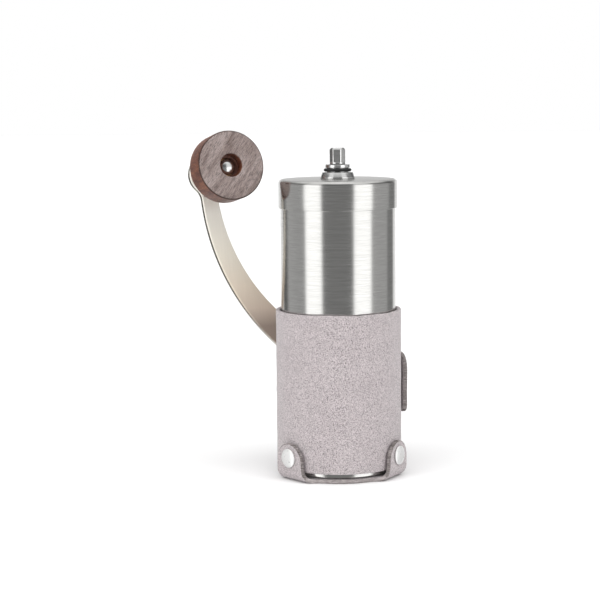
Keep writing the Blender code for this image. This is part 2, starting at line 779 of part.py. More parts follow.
def add_crank():
    frame = crank_frame()
    arm = make_object("crank_arm", prism(arm_outline(), -PLATE, 0.0), "arm_steel", parent=frame)
    for name, centre, radius in (("hub", HUB_AT, HUB_R), ("eye", EYE_AT, EYE_R)):
        disc = prism(circle(radius, 28, centre), -PLATE, 0.0)
        boolean(arm, make_object(f"arm_{name}", disc, None, parent=frame), "UNION")
    for name, centre, radius in (("hub", HUB_AT, SPIGOT_R + GAP), ("eye", EYE_AT, AXLE_R + GAP)):
        hole = prism(circle(radius, 16, centre), -PLATE - 1, 1.0)
        boolean(arm, make_object(f"arm_{name}_hole", hole, None, parent=frame))

    on_hub = {"matrix": place(*HUB_AT, 0.0), "parent": frame}
    boss = [(0, -BOSS_BACK), (BOSS_R - 0.5, -BOSS_BACK), (BOSS_R, -BOSS_BACK + 0.5)]
    boss += [(BOSS_R, -PLATE - GAP), (SPIGOT_R, -PLATE - GAP), (SPIGOT_R, 0.0), (0, 0.0)]
    hub = lathe("hub_boss", boss, "polished_steel", steps=24, **on_hub)
    socket = prism(hexagon(SOCKET_FLATS), -BOSS_BACK - 1, -BOSS_BACK + SOCKET_DEPTH)
    boolean(hub, make_object("hub_socket", socket, None, **on_hub))
    add_knob(frame)


def add_knob(frame):
    """A turned wooden knob that spins on a shouldered axle screwed into the arm's eye."""
    on_axle = {"matrix": place(*EYE_AT, 0.0), "parent": frame}
    floor = KNOB_FRONT - RECESS_DEPTH
    bush_front = floor - 0.9
    bore = BUSH_R + GAP
    disc_back = KNOB_FRONT - KNOB_DISC
    edge = KNOB_EDGE
    knob = [(bore, KNOB_BACK), (KNOB_NECK_R, KNOB_BACK), (KNOB_WAIST_R, KNOB_BACK + 4)]
    knob += [(KNOB_WAIST_R + 1.4, disc_back - 2.4), (KNOB_R - edge, disc_back)]
    knob += [(KNOB_R, disc_back + edge), (KNOB_R, KNOB_FRONT - 0.6)]
    knob += [(KNOB_R - 0.6, KNOB_FRONT), (RECESS_R, KNOB_FRONT), (RECESS_R, floor), (bore, floor)]
    lathe("knob", knob, "wood", steps=28, **on_axle)

    bush = ring_profile(AXLE_R + GAP, BUSH_R, KNOB_BACK, bush_front)
    lathe("knob_bush", bush, "bronze", steps=16, **on_axle)

    head = bush_front + GAP
    dome = [(AXLE_HEAD_R * cos(t), head + 0.6 + 1.6 * sin(t)) for t in (0.0, 0.45, 0.9, 1.25)]
    axle = [(0, -PLATE - 0.6), (AXLE_R, -PLATE - 0.6), (AXLE_R, head), (AXLE_HEAD_R, head)]
    axle += [*dome, (0, head + 2.2)]
    lathe("knob_axle", axle, "polished_steel", steps=16, **on_axle)

    washer = ring_profile(AXLE_R + GAP, 6.6, GAP, KNOB_BACK - GAP)
    lathe("knob_washer", washer, "polished_steel", steps=24, **on_axle)


def main():
    clear_scene()
    add_leather()
    add_cup()
    add_barrel()
    add_lid()
    add_carrier()
    add_burrs()
    add_bridge()
    add_shaft()
    add_adjuster()
    add_crank()


main()
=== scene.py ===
"""The looks of the hand coffee grinder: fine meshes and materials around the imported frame.

Lengths are in millimetres until a mesh is made, and the frame is in metres.
A direction around the body is an angle from the front (-Y), in degrees, growing towards +X.
"""

import json
from functools import lru_cache
from math import acos, asin, atan2, cos, degrees, exp, hypot, pi, radians, sin, sqrt, tan, tau

import bmesh
import bpy
from mathutils import Matrix, Vector, noise


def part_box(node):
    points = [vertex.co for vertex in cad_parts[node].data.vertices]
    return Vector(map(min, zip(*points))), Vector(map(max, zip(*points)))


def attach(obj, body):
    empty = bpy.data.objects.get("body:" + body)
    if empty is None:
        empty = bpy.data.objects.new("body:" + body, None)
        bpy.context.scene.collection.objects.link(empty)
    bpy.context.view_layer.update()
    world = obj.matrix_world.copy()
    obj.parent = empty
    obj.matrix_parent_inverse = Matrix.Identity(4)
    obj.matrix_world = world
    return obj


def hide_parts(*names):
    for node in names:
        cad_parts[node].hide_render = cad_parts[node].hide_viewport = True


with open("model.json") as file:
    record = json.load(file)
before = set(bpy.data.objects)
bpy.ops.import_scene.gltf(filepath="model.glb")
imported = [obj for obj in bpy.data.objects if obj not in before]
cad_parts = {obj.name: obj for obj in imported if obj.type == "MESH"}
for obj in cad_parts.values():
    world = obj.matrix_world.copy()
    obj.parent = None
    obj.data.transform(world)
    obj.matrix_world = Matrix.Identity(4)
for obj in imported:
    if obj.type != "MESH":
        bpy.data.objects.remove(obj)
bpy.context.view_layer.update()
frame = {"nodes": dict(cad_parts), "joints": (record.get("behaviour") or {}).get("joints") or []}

MM = 0.001

# Sizes that the frame's boxes don't give, as the design has them
LEATHER = 1.7
GAP = 0.3
DISC_R = 24.6
DISC_FLAT_R = 20.0
TAB_ANGLES = {"left": -49.0, "right": 60.0, "back": 185.0}
TAB_HALF = 7.4
TAB_FLARE = 3.2
TAB_REAR_FLARE = -0.8
TAB_ROUND_AT = 9.4
TAB_SAG_R = 150.0
TAB_RIVET_Z = 9.6
BEND_X = 23.5
BEND_R = 4.5
KEEPER_FROM = 93.0
KEEPER_TO = 243.5
KEEPER_LOW_TOP = 42.0
KEEPER_BULGE = 13.2
KEEPER_RISE = (118.0, 50.0)  # where it leaves the sleeve, and over how many degrees
KEEPER_FALL = (229.0, 13.0)  # where it is back on the sleeve, and over how many degrees
KEEPER_SLOPE = (165.0, 38.0)  # where its top starts to fall, and over how many degrees
KEEPER_LIFT = 0.75
KEEPER_RIVETS = {"right": 108.0, "left": 238.0}
KEEPER_RIVET_Z = 33.2
SEAM_ANGLE = 150.0
SEAM_HALF = 0.35
TUBE_WALL = 1.0
PLATE = 3.0
HUB_AT = (6.5, 10.5)
EYE_AT = (-39.6, 92.2)
HUB_R = 8.5
EYE_R = 8.8
ARM_OUTER = (51.7, 86.4, 95.3)
ARM_INNER = (42.3, 88.8, 78.9)
SPOKES = 3
SCREW_CIRCLE = 20.6
KNOB_R = 14.4
KNOB_BACK = 1.6
KNOB_FRONT = 26.0
SHAFT_BORE = 3.3
TEETH = 28
TOOTH_TWIST = 26.0
TOOTH_DEPTH = 0.3

# Where the looks differ from the plain solids
DIMPLE = 0.3
DIMPLE_R = 4.6
CUT_EDGE_R = 0.45
# Height below which the base's cut edge is the paler copy, painted light where the front rim is lit.
LIT_RIM_BELOW = 2.6


@lru_cache(maxsize=None)
def span(node):
    """Lowest and highest corner of a frame node, in millimetres."""
    low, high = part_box(node)
    return low / MM, high / MM


def radius_of(node):
    """Outer radius of a frame node that is round about the main axis."""
    low, high = span(node)
    return (high.x - low.x) / 2


# ---------------------------------------------------------------- materials


def add(tree, kind, inputs=None, **settings):
    """A new shader node with these settings; an input given as a socket is linked."""
    node = tree.nodes.new("ShaderNode" + kind)
    for key, value in settings.items():
        setattr(node, key, value)
    for key, value in (inputs or {}).items():
        if isinstance(value, bpy.types.NodeSocket):
            tree.links.new(value, node.inputs[key])
        else:
            node.inputs[key].default_value = value
    return node


def start_material(name, roughness, metallic=0.0, **sockets):
    """A Principled material: (material, node tree, shader)."""
    made = bpy.data.materials.new(name)
    made.use_nodes = True
    shader = made.node_tree.nodes["Principled BSDF"]
    shader.inputs["Roughness"].default_value = roughness
    shader.inputs["Metallic"].default_value = metallic
    for key, value in sockets.items():
        shader.inputs[key.replace("_", " ")].default_value = value
    return made, made.node_tree, shader


def feed(tree, shader, **sockets):
    """Links these sockets to the shader's inputs."""
    for key, value in sockets.items():
        tree.links.new(value, shader.inputs[key.replace("_", " ")])


def place_of(tree):
    """The point on the piece, in the piece's own frame, in metres."""
    return add(tree, "TexCoord").outputs["Object"]


def stretched(tree, vector, scale, turn=(0.0, 0.0, 0.0)):
    """The point turned and then scaled along each axis."""
    if any(turn):
        vector = add(tree, "Mapping", {"Vector": vector, "Rotation": turn}).outputs[0]
    return add(tree, "Mapping", {"Vector": vector, "Scale": scale}).outputs[0]


def grain(tree, vector, scale, detail=3.0, roughness=0.55, distortion=0.0):
    """Noise, which lies mostly between 0.3 and 0.7."""
    inputs = {"Vector": vector, "Scale": scale, "Detail": detail}
    inputs |= {"Roughness": roughness, "Distortion": distortion}
    return add(tree, "TexNoise", inputs).outputs[0]


def ramp(tree, factor, stops):
    """A colour or a grey from a factor: stops are (place, colour or grey)."""
    node = add(tree, "ValToRGB", {"Fac": factor})
    elements = node.color_ramp.elements
    while len(elements) < len(stops):
        elements.new(0.5)
    for element, (at, value) in zip(elements, stops):
        element.position = at
        element.color = (*value, 1.0) if isinstance(value, tuple) else (value, value, value, 1.0)
    return node.outputs["Color"]


def blend(tree, factor, a, b, mode="MIX"):
    node = add(tree, "Mix", data_type="RGBA", blend_type=mode)
    for index, value in ((0, factor), (6, a), (7, b)):
        if isinstance(value, bpy.types.NodeSocket):
            tree.links.new(value, node.inputs[index])
        elif isinstance(value, tuple):
            node.inputs[index].default_value = (*value, 1.0)
        else:
            node.inputs[index].default_value = value
    return node.outputs[2]


def spread(tree, factor, low, high, start=0.3, end=0.7):
    """The factor, from start to end, mapped to low to high. A noise needs no start and end."""
    inputs = {"Value": factor, "From Min": start, "From Max": end, "To Min": low, "To Max": high}
    return add(tree, "MapRange", inputs).outputs[0]


def math_node(tree, operation, a, b=0.0):
    node = add(tree, "Math", operation=operation)
    for index, value in enumerate((a, b)):
        if isinstance(value, bpy.types.NodeSocket):
            tree.links.new(value, node.inputs[index])
        else:
            node.inputs[index].default_value = value
    return node.outputs[0]


def split(tree, vector):
    """The X, Y and Z sockets of a vector."""
    return list(add(tree, "SeparateXYZ", {"Vector": vector}).outputs)


def bump(tree, shader, height, strength, distance):
    inputs = {"Height": height, "Strength": strength, "Distance": distance}
    tree.links.new(add(tree, "Bump", inputs).outputs[0], shader.inputs["Normal"])


def suede():
    """Grey-pink nubuck: a fine speckled nap with dark pores, faint clouds of shade and a soft sheen."""
    soft = {"Sheen_Weight": 0.3, "Sheen_Roughness": 0.5, "Specular_IOR_Level": 0.2}
    made, tree, shader = start_material("suede", 0.95, **soft)
    at = place_of(tree)
    cloud = grain(tree, at, 90.0, 3.0)
    nap = grain(tree, at, 2500.0, 3.0, 0.8)
    fibre = grain(tree, stretched(tree, at, (2600.0, 2600.0, 1700.0), (0.3, 0.5, 0.7)), 1.0, 2.0, 0.6)
    pores = add(tree, "TexVoronoi", {"Vector": at, "Scale": 1300.0}).outputs["Distance"]
    base = ramp(tree, cloud, [(0.3, (0.635, 0.568, 0.58)), (0.7, (0.676, 0.61, 0.621))])
    speck = ramp(tree, nap, [(0.34, 0.16), (0.45, 0.63), (0.54, 0.93), (0.64, 1.0)])
    colour = blend(tree, 1.0, base, speck, "MULTIPLY")
    colour = blend(tree, 0.5, colour, ramp(tree, fibre, [(0.34, 0.55), (0.6, 1.0)]), "MULTIPLY")
    colour = blend(tree, 0.3, colour, ramp(tree, pores, [(0.0, 0.4), (0.22, 1.0)]), "MULTIPLY")
    feed(tree, shader, Base_Color=colour)
    height = math_node(tree, "ADD", nap, math_node(tree, "MULTIPLY", fibre, 0.6))
    bump(tree, shader, height, 0.6, 0.0003)
    return made


def cut_edge(name, shades):
    """The raw cut edge of the leather: compressed fibres, from dark to pale."""
    made, tree, shader = start_material(name, 0.9, Specular_IOR_Level=0.25)
    at = place_of(tree)
    fibres = grain(tree, stretched(tree, at, (500.0, 500.0, 2600.0)), 1.0, 4.0, 0.7)
    colour = ramp(tree, fibres, list(zip((0.3, 0.5, 0.68), shades)))
    feed(tree, shader, Base_Color=colour)
    bump(tree, shader, fibres, 0.5, 0.0003)
    return made


def brushed_steel(name, smooth, rough, anisotropic):
    """Steel brushed round the axis: fine lines round the wall, and rings on a flat top."""
    made, tree, shader = start_material(name, rough, 1.0, Anisotropic=anisotropic)
    at = place_of(tree)
    x, y, z = split(tree, at)
    flat = add(tree, "CombineXYZ", {"X": x, "Y": y}).outputs[0]
    out = add(tree, "VectorMath", {0: flat}, operation="LENGTH").outputs["Value"]
    lane = math_node(tree, "ADD", z, out)
    lines = add(tree, "CombineXYZ", {"X": x, "Y": y, "Z": lane}).outputs[0]
    fine = grain(tree, stretched(tree, lines, (150.0, 150.0, 6000.0)), 1.0, 4.0, 0.7)
    coarse = grain(tree, stretched(tree, lines, (60.0, 60.0, 1900.0)), 1.0, 2.0, 0.5)
    wear = grain(tree, at, 45.0, 2.0)
    colour = ramp(tree, fine, [(0.34, (0.555, 0.552, 0.535)), (0.66, (0.68, 0.675, 0.66))])
    colour = blend(tree, 0.5, colour, ramp(tree, coarse, [(0.34, 0.87), (0.6, 1.0)]), "MULTIPLY")
    gloss = math_node(tree, "ADD", spread(tree, fine, smooth, rough), spread(tree, wear, -0.015, 0.02))
    tangent = add(tree, "Tangent", direction_type="RADIAL", axis="Z").outputs[0]
    feed(tree, shader, Base_Color=colour, Roughness=gloss, Tangent=tangent)
    bump(tree, shader, fine, 0.01, 0.00004)
    return made


def metal(name, dark, light, roughness, scale=(260.0, 260.0, 260.0), marks=0.1, **sockets):
    """A worked metal: faint tool marks along the axis of the least scale, and a little uneven gloss."""
    made, tree, shader = start_material(name, roughness, 1.0, **sockets)
    at = place_of(tree)
    streaks = grain(tree, stretched(tree, at, scale), 1.0, 3.0, 0.6)
    clouds = grain(tree, at, 160.0, 2.0)
    colour = ramp(tree, streaks, [(0.3, dark), (0.7, light)])
    clouded = spread(tree, clouds, roughness - 0.02, roughness + 0.03, 0.0, 1.0)
    uneven = math_node(tree, "ADD", spread(tree, streaks, -0.04, 0.05), clouded)
    feed(tree, shader, Base_Color=colour, Roughness=uneven)
    bump(tree, shader, streaks, marks, 0.00005)
    return made


def satin_plate():
    """Champagne-coloured satin steel with faint brushing along the plate, and painted shade that darkens it
    towards the hub, by the barrel.
    """
    made, tree, shader = start_material("arm_steel", 0.34, 0.2)
    at = place_of(tree)
    streaks = grain(tree, stretched(tree, at, (900.0, 60.0, 240.0)), 1.0, 3.0, 0.6)
    share = spread(tree, split(tree, at)[1], 0.0, 1.0, 0.02, 0.1)
    # Painted shade: pale cream at the eye, growing darker and browner down towards the hub, where the barrel
    # shades the plate.
    painted_shade_tints = [(0.08, (0.38, 0.31, 0.26)), (0.18, (0.76, 0.64, 0.53)), (0.3, (0.92, 0.80, 0.66))]
    painted_shade_tints += [(0.46, (0.96, 0.89, 0.77)), (0.7, (1.0, 0.965, 0.88))]
    brushing = ramp(tree, streaks, [(0.3, 0.965), (0.7, 1.0)])
    colour = blend(tree, 1.0, ramp(tree, share, painted_shade_tints), brushing, "MULTIPLY")
    feed(tree, shader, Base_Color=colour, Roughness=spread(tree, streaks, 0.32, 0.37))
    bump(tree, shader, streaks, 0.02, 0.00004)
    return made


def wood(name, shades, pore_dark, gloss):
    """Oiled hardwood: slanting bands of shade with fine dark pores along them."""
    made, tree, shader = start_material(name, 0.45, Coat_Weight=gloss, Coat_Roughness=0.35)
    at = place_of(tree)
    along = (0.0, 0.0, radians(38.0))
    pores = grain(tree, stretched(tree, at, (5200.0, 380.0, 620.0), along), 1.0, 3.0, 0.85)
    bands = grain(tree, stretched(tree, at, (420.0, 60.0, 110.0), along), 1.0, 3.0, 0.6, 0.6)
    figure = ramp(tree, bands, list(zip((0.3, 0.5, 0.7), shades)))
    pitted = ramp(tree, pores, [(0.37, pore_dark), (0.48, 0.86), (0.6, 1.0)])
    colour = blend(tree, 1.0, figure, pitted, "MULTIPLY")
    feed(tree, shader, Base_Color=colour, Roughness=spread(tree, pores, 0.62, 0.42))
    bump(tree, shader, pores, 0.3, 0.00012)
    return made


def moulded(name, dark, light, roughness, scale=900.0, strength=0.15, **sockets):
    """Moulded plastic, rubber or fired ceramic: a fine even texture and faint flow in its shade."""
    made, tree, shader = start_material(name, roughness, **sockets)
    at = place_of(tree)
    texture = grain(tree, at, scale, 3.0, 0.6)
    flow = grain(tree, stretched(tree, at, (60.0, 60.0, 140.0)), 1.0, 2.0)
    uneven = spread(tree, texture, roughness - 0.06, roughness + 0.06)
    feed(tree, shader, Base_Color=ramp(tree, flow, [(0.3, dark), (0.7, light)]), Roughness=uneven)
    bump(tree, shader, texture, strength, 0.0001)
    return made


FINISH = {
    "leather": suede(),
    # One cut edge in two copies: this darker one, on the tabs and keeper, is partly painted shade of the
    # gaps by the sleeve; the paler rim copy is painted light.
    "edge": cut_edge("leather_cut_edge", ((0.06, 0.05, 0.047), (0.2, 0.178, 0.173), (0.42, 0.38, 0.375))),
    "rim": cut_edge("leather_edge_painted_light", ((0.17, 0.15, 0.145), (0.37, 0.335, 0.33), (0.56, 0.51, 0.51))),
    "body_steel": brushed_steel("brushed_steel", 0.125, 0.15, 0.55),
    "top_steel": brushed_steel("ring_brushed_steel", 0.3, 0.36, 0.2),
    "bright_steel": metal(
        "bright_steel", (0.66, 0.66, 0.655), (0.76, 0.76, 0.75), 0.16, (240.0, 240.0, 1600.0)
    ),
    "arm_steel": satin_plate(),
    "arm_edge": metal(
        "arm_edge", (0.5, 0.47, 0.42), (0.62, 0.59, 0.54), 0.14, (300.0, 300.0, 1200.0), 0.03
    ),
    "nickel": metal(
        "polished_nickel",
        (0.9, 0.9, 0.89),
        (0.96, 0.96, 0.95),
        0.3,
        (900.0, 900.0, 900.0),
        0.05,
        Metallic=0.45,
        Coat_Weight=0.6,
        Coat_Roughness=0.06,
    ),
    "wood": wood(
        "turned_wood", ((0.087, 0.026, 0.015), (0.161, 0.054, 0.03), (0.25, 0.092, 0.045)), 0.4, 0.15
    ),
    # The knob's face: the same wood made paler and greyer, a painted sheen reflection.
    "wood_face": wood(
        "wood_face_painted_sheen", ((0.18, 0.128, 0.114), (0.304, 0.238, 0.22), (0.4, 0.328, 0.31)), 0.14, 0.0
    ),
    # A dark line round the rounded edge of the knob's face.
    "wood_rim": wood(
        "dark_rim_wood", ((0.035, 0.016, 0.012), (0.05, 0.022, 0.015), (0.07, 0.03, 0.02)), 0.5, 0.2
    ),
    "rubber": moulded("black_rubber", (0.006, 0.006, 0.006), (0.016, 0.016, 0.016), 0.5, 1400.0),
    "silicone": moulded("clear_silicone", (0.66, 0.66, 0.64), (0.74, 0.74, 0.72), 0.42, 700.0, 0.1),
    "ceramic": moulded("white_ceramic", (0.74, 0.725, 0.69), (0.82, 0.81, 0.78), 0.4, 1800.0, 0.2),
    "plastic": moulded("black_plastic", (0.02, 0.02, 0.021), (0.04, 0.04, 0.041), 0.42, 1600.0, 0.2),
    "bronze": metal(
        "sintered_bronze", (0.42, 0.26, 0.12), (0.58, 0.38, 0.19), 0.36, (1500.0, 1500.0, 1500.0), 0.3
    ),
}


# ---------------------------------------------------------------- mesh helpers


def new_object(name, data):
    obj = bpy.data.objects.new(name, data)
    bpy.context.scene.collection.objects.link(obj)
    return obj


def make_piece(name, bm, finish, body, stands_for=(), matrix=None, sharp=38.0):
    """Turns a bmesh in millimetres into a piece that rides on a body."""
    bmesh.ops.scale(bm, vec=(MM, MM, MM), verts=bm.verts)
    bmesh.ops.recalc_face_normals(bm, faces=bm.faces)
    mesh = bpy.data.meshes.new(name)
    bm.to_mesh(mesh)
    bm.free()
    mesh.shade_smooth()
    mesh.set_sharp_from_angle(angle=radians(sharp))
    obj = new_object(name, mesh)
    for key in (finish,) if isinstance(finish, str) else finish:
        mesh.materials.append(FINISH[key])
    if matrix is not None:
        obj.matrix_world = matrix
    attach(obj, body)
    if stands_for:
        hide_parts(*((stands_for,) if isinstance(stands_for, str) else stands_for))
    return obj


def place(x=0.0, y=0.0, z=0.0, turn=None):
    """A matrix in metres from millimetres and an optional rotation matrix."""
    shift = Matrix.Translation(Vector((x, y, z)) * MM)
    return shift @ turn.to_4x4() if turn else shift


def outward(angle):
    return Vector((sin(radians(angle)), -cos(radians(angle)), 0.0))


def smoothstep(t):
    t = min(max(t, 0.0), 1.0)
    return t * t * (3 - 2 * t)


def straight(start, end, steps):
    """Points of a straight run from start, without its end."""
    return [tuple(Vector(start).lerp(end, i / steps)) for i in range(steps)]


def quarter(steps):
    """Angles from 0 to a right angle, for a rounded edge."""
    return [pi / 2 * i / steps for i in range(steps + 1)]


def rounded(points, closed=True, steps=5):
    """Turns each corner (x, y, radius) of a profile into an arc; a corner (x, y) stays sharp."""
    made = []
    for i, point in enumerate(points):
        here = Vector(point[:2])
        fillet = point[2] if len(point) > 2 else 0.0
        if not fillet or (not closed and i in (0, len(points) - 1)):
            made.append((here.x, here.y))
            continue
        before = (Vector(points[i - 1][:2]) - here).normalized()
        after = (Vector(points[(i + 1) % len(points)][:2]) - here).normalized()
        half = acos(min(max(before.dot(after), -1.0), 1.0)) / 2
        centre = here + (before + after).normalized() * fillet / sin(half)
        start = here + before * fillet / tan(half) - centre
        end = here + after * fillet / tan(half) - centre
        for k in range(steps + 1):
            arm = start.lerp(end, k / steps).normalized() * fillet
            made.append((centre.x + arm.x, centre.y + arm.y))
    return made


def turned(points, steps=96, closed=True, shape=None, fine=5):
    """Spins a profile of (radius, height[, corner radius]) about Z.

    shape(radius, height, angle) gives the radius to use instead.
    """
    profile = rounded(points, closed, fine)
    bm = bmesh.new()
    rows = []
    for i in range(steps):
        angle = tau * i / steps
        row = []
        for r, z in profile:
            reach = shape(r, z, angle) if shape else r
            row.append(bm.verts.new((reach * cos(angle), reach * sin(angle), z)))
        rows.append(row)
    last = len(profile) if closed else len(profile) - 1
    for a, b in zip(rows, rows[1:] + rows[:1]):
        for j in range(last):
            k = (j + 1) % len(profile)
            bm.faces.new((a[j], b[j], b[k], a[k]))
    bmesh.ops.remove_doubles(bm, verts=bm.verts, dist=1e-4)
    return bm


def ring(r_in, r_out, z0, z1, fillet=0.2):
    return [(r_in, z0, fillet), (r_out, z0, fillet), (r_out, z1, fillet), (r_in, z1, fillet)]


def flats(across, start=0.0, where=None):
    """A shape for turned(): the radius is cut back by six flats this far across."""

    def cut(r, z, angle):
        if where and not where(r, z):
            return r
        step = tau / 6
        off = (angle - start + step / 2) % step - step / 2
        return min(r, across / 2 / cos(off))

    return cut


# ---------------------------------------------------------------- leather


def ripple(p, size):
    """Slow unevenness of hand-cut leather, in millimetres."""
    return size * noise.noise(p * 0.11) + 0.35 * size * noise.noise(p * 0.43)


def section(low, high):
    """A rounded cut through the leather, as (depth from the inner face, height, is it cut edge)."""
    rows = 30
    edge = CUT_EDGE_R
    corner = [(edge * (1 - cos(t)), edge * (1 - sin(t))) for t in (0.0, 0.4, 0.8, 1.2, pi / 2)]
    made = []
    for i in range(rows + 1):
        made.append((LEATHER, low + edge + (high - low - 2 * edge) * i / rows, False))
    made += [(LEATHER - a, high - b, True) for a, b in corner[1:]]
    made += [(a, high - b, True) for a, b in corner[:0:-1]]
    for i in range(rows + 1):
        made.append((0.0, high - edge - (high - low - 2 * edge) * i / rows, False))
    made += [(a, low + b, True) for a, b in corner[1:]]
    made += [(LEATHER - a, low + b, True) for a, b in corner[:0:-1]]
    return made


def dimple(p, seats):
    """How far the leather is drawn in by its rivets at a point."""
    return sum(DIMPLE * exp(-(((p - seat).length / DIMPLE_R) ** 4)) for seat in seats)


def band(reach, low, high, first, last, seats, wave):
    """A strip of leather stood on edge: reach(angle) is its inner radius, low and high its edges."""
    bm = bmesh.new()
    rows = []
    steps, near = 220, 0.5
    for i in range(steps + 1):
        angle = first + (last - first) * i / steps
        slope = outward(angle + near) * reach(angle + near) - outward(angle - near) * reach(angle - near)
        normal = Vector((slope.y, -slope.x, 0.0)).normalized()
        if normal.dot(outward(angle)) < 0:
            normal = -normal
        start = outward(angle) * reach(angle)
        row = []
        loop = section(low(angle), high(angle))
        for depth, height, _ in loop:
            p = start + normal * depth + Vector((0, 0, height))
            p += normal * (ripple(p, wave) - dimple(p, seats) * (depth / LEATHER))
            row.append(bm.verts.new(p))
        rows.append(row)
    marks = [mark for *_, mark in loop]
    for a, b in zip(rows, rows[1:]):
        for j in range(len(a)):
            k = (j + 1) % len(a)
            face = bm.faces.new((a[j], a[k], b[k], b[j]))
            face.material_index = 1 if marks[j] or marks[k] else 0
    for row in (rows[0], rows[-1]):
        bm.faces.new(row).material_index = 1
    return bm


def sleeve_reach(angle):
    return radius_of("sleeve") - LEATHER


def corner_drop(angle, radius, corner):
    """How far the keeper's edge is cut back by the rounded corner at each end."""
    along = radians(min(angle - KEEPER_FROM, KEEPER_TO - angle)) * radius
    if along >= corner:
        return 0.0
    return 0.9 * (corner - sqrt(max(corner**2 - (corner - along) ** 2, 0.0)))


def keeper_reach(angle):
    """Inner radius of the keeper: flat on the sleeve at its ends and bulged out over the crank's hub."""
    rise = smoothstep((angle - KEEPER_RISE[0]) / KEEPER_RISE[1])
    rise *= smoothstep((KEEPER_FALL[0] - angle) / KEEPER_FALL[1])
    first = KEEPER_RIVETS["right"]
    lift = max((first - angle) / (first - KEEPER_FROM), 0.0) ** 2
    return radius_of("sleeve") + GAP + KEEPER_BULGE * rise + KEEPER_LIFT * lift


def tab_half_width(t, flare):
    """Half the width of a base tab, t from the start of its bend along the leather."""
    if t <= TAB_ROUND_AT:
        return TAB_HALF + flare * ((TAB_ROUND_AT - t) / TAB_ROUND_AT) ** 2
    return sqrt(max(TAB_HALF**2 - (t - TAB_ROUND_AT) ** 2, 0.0))


def cradle_reach(offset, flare):
    """Distance from the centre to the edge of the flat pattern, offset degrees from a tab's middle."""
    side = abs(sin(radians(offset)))
    along = cos(radians(offset))
    if along <= 0:
        return DISC_R
    round_x = BEND_X + TAB_ROUND_AT
    if abs(offset) < degrees(asin(TAB_HALF / round_x)):
        return round_x * along + sqrt(TAB_HALF**2 - (round_x * side) ** 2)
    steps = 400
    reach = DISC_R
    for i in range(steps):
        r = DISC_R + (round_x - DISC_R) * i / steps
        if r * side <= tab_half_width(r * along - BEND_X, flare):
            reach = r
    return reach


def folded(x, y, lift):
    """A point of the flat pattern, lift above its underside, folded up where it passes a tab's bend line."""
    for angle in TAB_ANGLES.values():
        out = outward(angle)
        side = Vector((-out.y, out.x, 0.0))
        along = x * out.x + y * out.y
        across = x * side.x + y * side.y
        t = along - BEND_X
        if t <= 0 or abs(across) > 2 * TAB_HALF:
            continue
        mid = BEND_R - LEATHER / 2
        bend = min(t / mid, pi / 2)
        run = BEND_X + (BEND_R - lift) * sin(bend)
        rise = BEND_R - (BEND_R - lift) * cos(bend) + max(t - mid * pi / 2, 0.0)
        run -= across**2 / (2 * TAB_SAG_R) * smoothstep(rise / BEND_R)
        return out * run + side * across + Vector((0, 0, rise))
    return Vector((x, y, lift))


def nearest_tab(angle):
    """The angle of the nearest tab, and how many degrees past it this angle is."""
    turns = {tab: (angle - tab + 180) % 360 - 180 for tab in TAB_ANGLES.values()}
    tab = min(turns, key=lambda a: abs(turns[a]))
    return tab, turns[tab]


def cradle_angles():
    """Angles round the flat pattern: every degree on the tabs and every third elsewhere."""
    tab_reach = 26
    return [angle for angle in range(360) if abs(nearest_tab(angle)[1]) < tab_reach or angle % 3 == 0]


def build_cradle():
    """The base: a disc cut in one with three tabs, which fold up over the sleeve."""
    edge = 0.4
    steps = 22
    face = radius_of("sleeve") + GAP + LEATHER
    seats = [outward(a) * face + Vector((0, 0, TAB_RIVET_Z)) for a in TAB_ANGLES.values()]
    bm = bmesh.new()
    rows = []
    corner = [(edge * (1 - cos(t)), edge * (1 - sin(t))) for t in (0.0, 0.5, 1.0, pi / 2)]
    for angle in cradle_angles():
        tab, offset = nearest_tab(angle)
        behind = abs(tab) < 90 and offset * tab > 0
        reach = cradle_reach(offset, TAB_REAR_FLARE if behind else TAB_FLARE)
        run = reach - edge - DISC_FLAT_R
        flat = [0.0, 8.0, 15.0] + [DISC_FLAT_R + run * i / steps for i in range(steps + 1)]
        loop = [(r, 0.0, False) for r in flat]
        loop += [(reach - b, a, True) for a, b in corner[::-1]][1:]
        loop += [(reach - a, LEATHER - b, True) for a, b in corner]
        loop += [(r, LEATHER, False) for r in flat[::-1]]
        out = outward(angle)
        row = []
        for r, lift, _ in loop:
            p = folded(out.x * r, out.y * r, lift)
            radial = Vector((p.x, p.y, 0.0))
            if radial.length > 1:
                p -= radial.normalized() * dimple(p, seats) * (1 - lift / LEATHER)
            if p.z < 3 and (lift > 0.2 or p.z > 1):
                p.z += ripple(p, 0.08)
            row.append(bm.verts.new(p))
        rows.append((row, [mark for *_, mark in loop]))
    for (a, marks), (b, _) in zip(rows, rows[1:] + rows[:1]):
        for j in range(len(a) - 1):
            face = bm.faces.new((a[j], a[j + 1], b[j + 1], b[j]))
            if marks[j] or marks[j + 1]:
                # Above this height the darker cut edge, partly painted shade; below it the paler copy,
                # painted light of the lit front rim.
                face.material_index = 1 if max(v.co.z for v in face.verts) > LIT_RIM_BELOW else 2
    bmesh.ops.remove_doubles(bm, verts=bm.verts, dist=1e-4)
    return bm


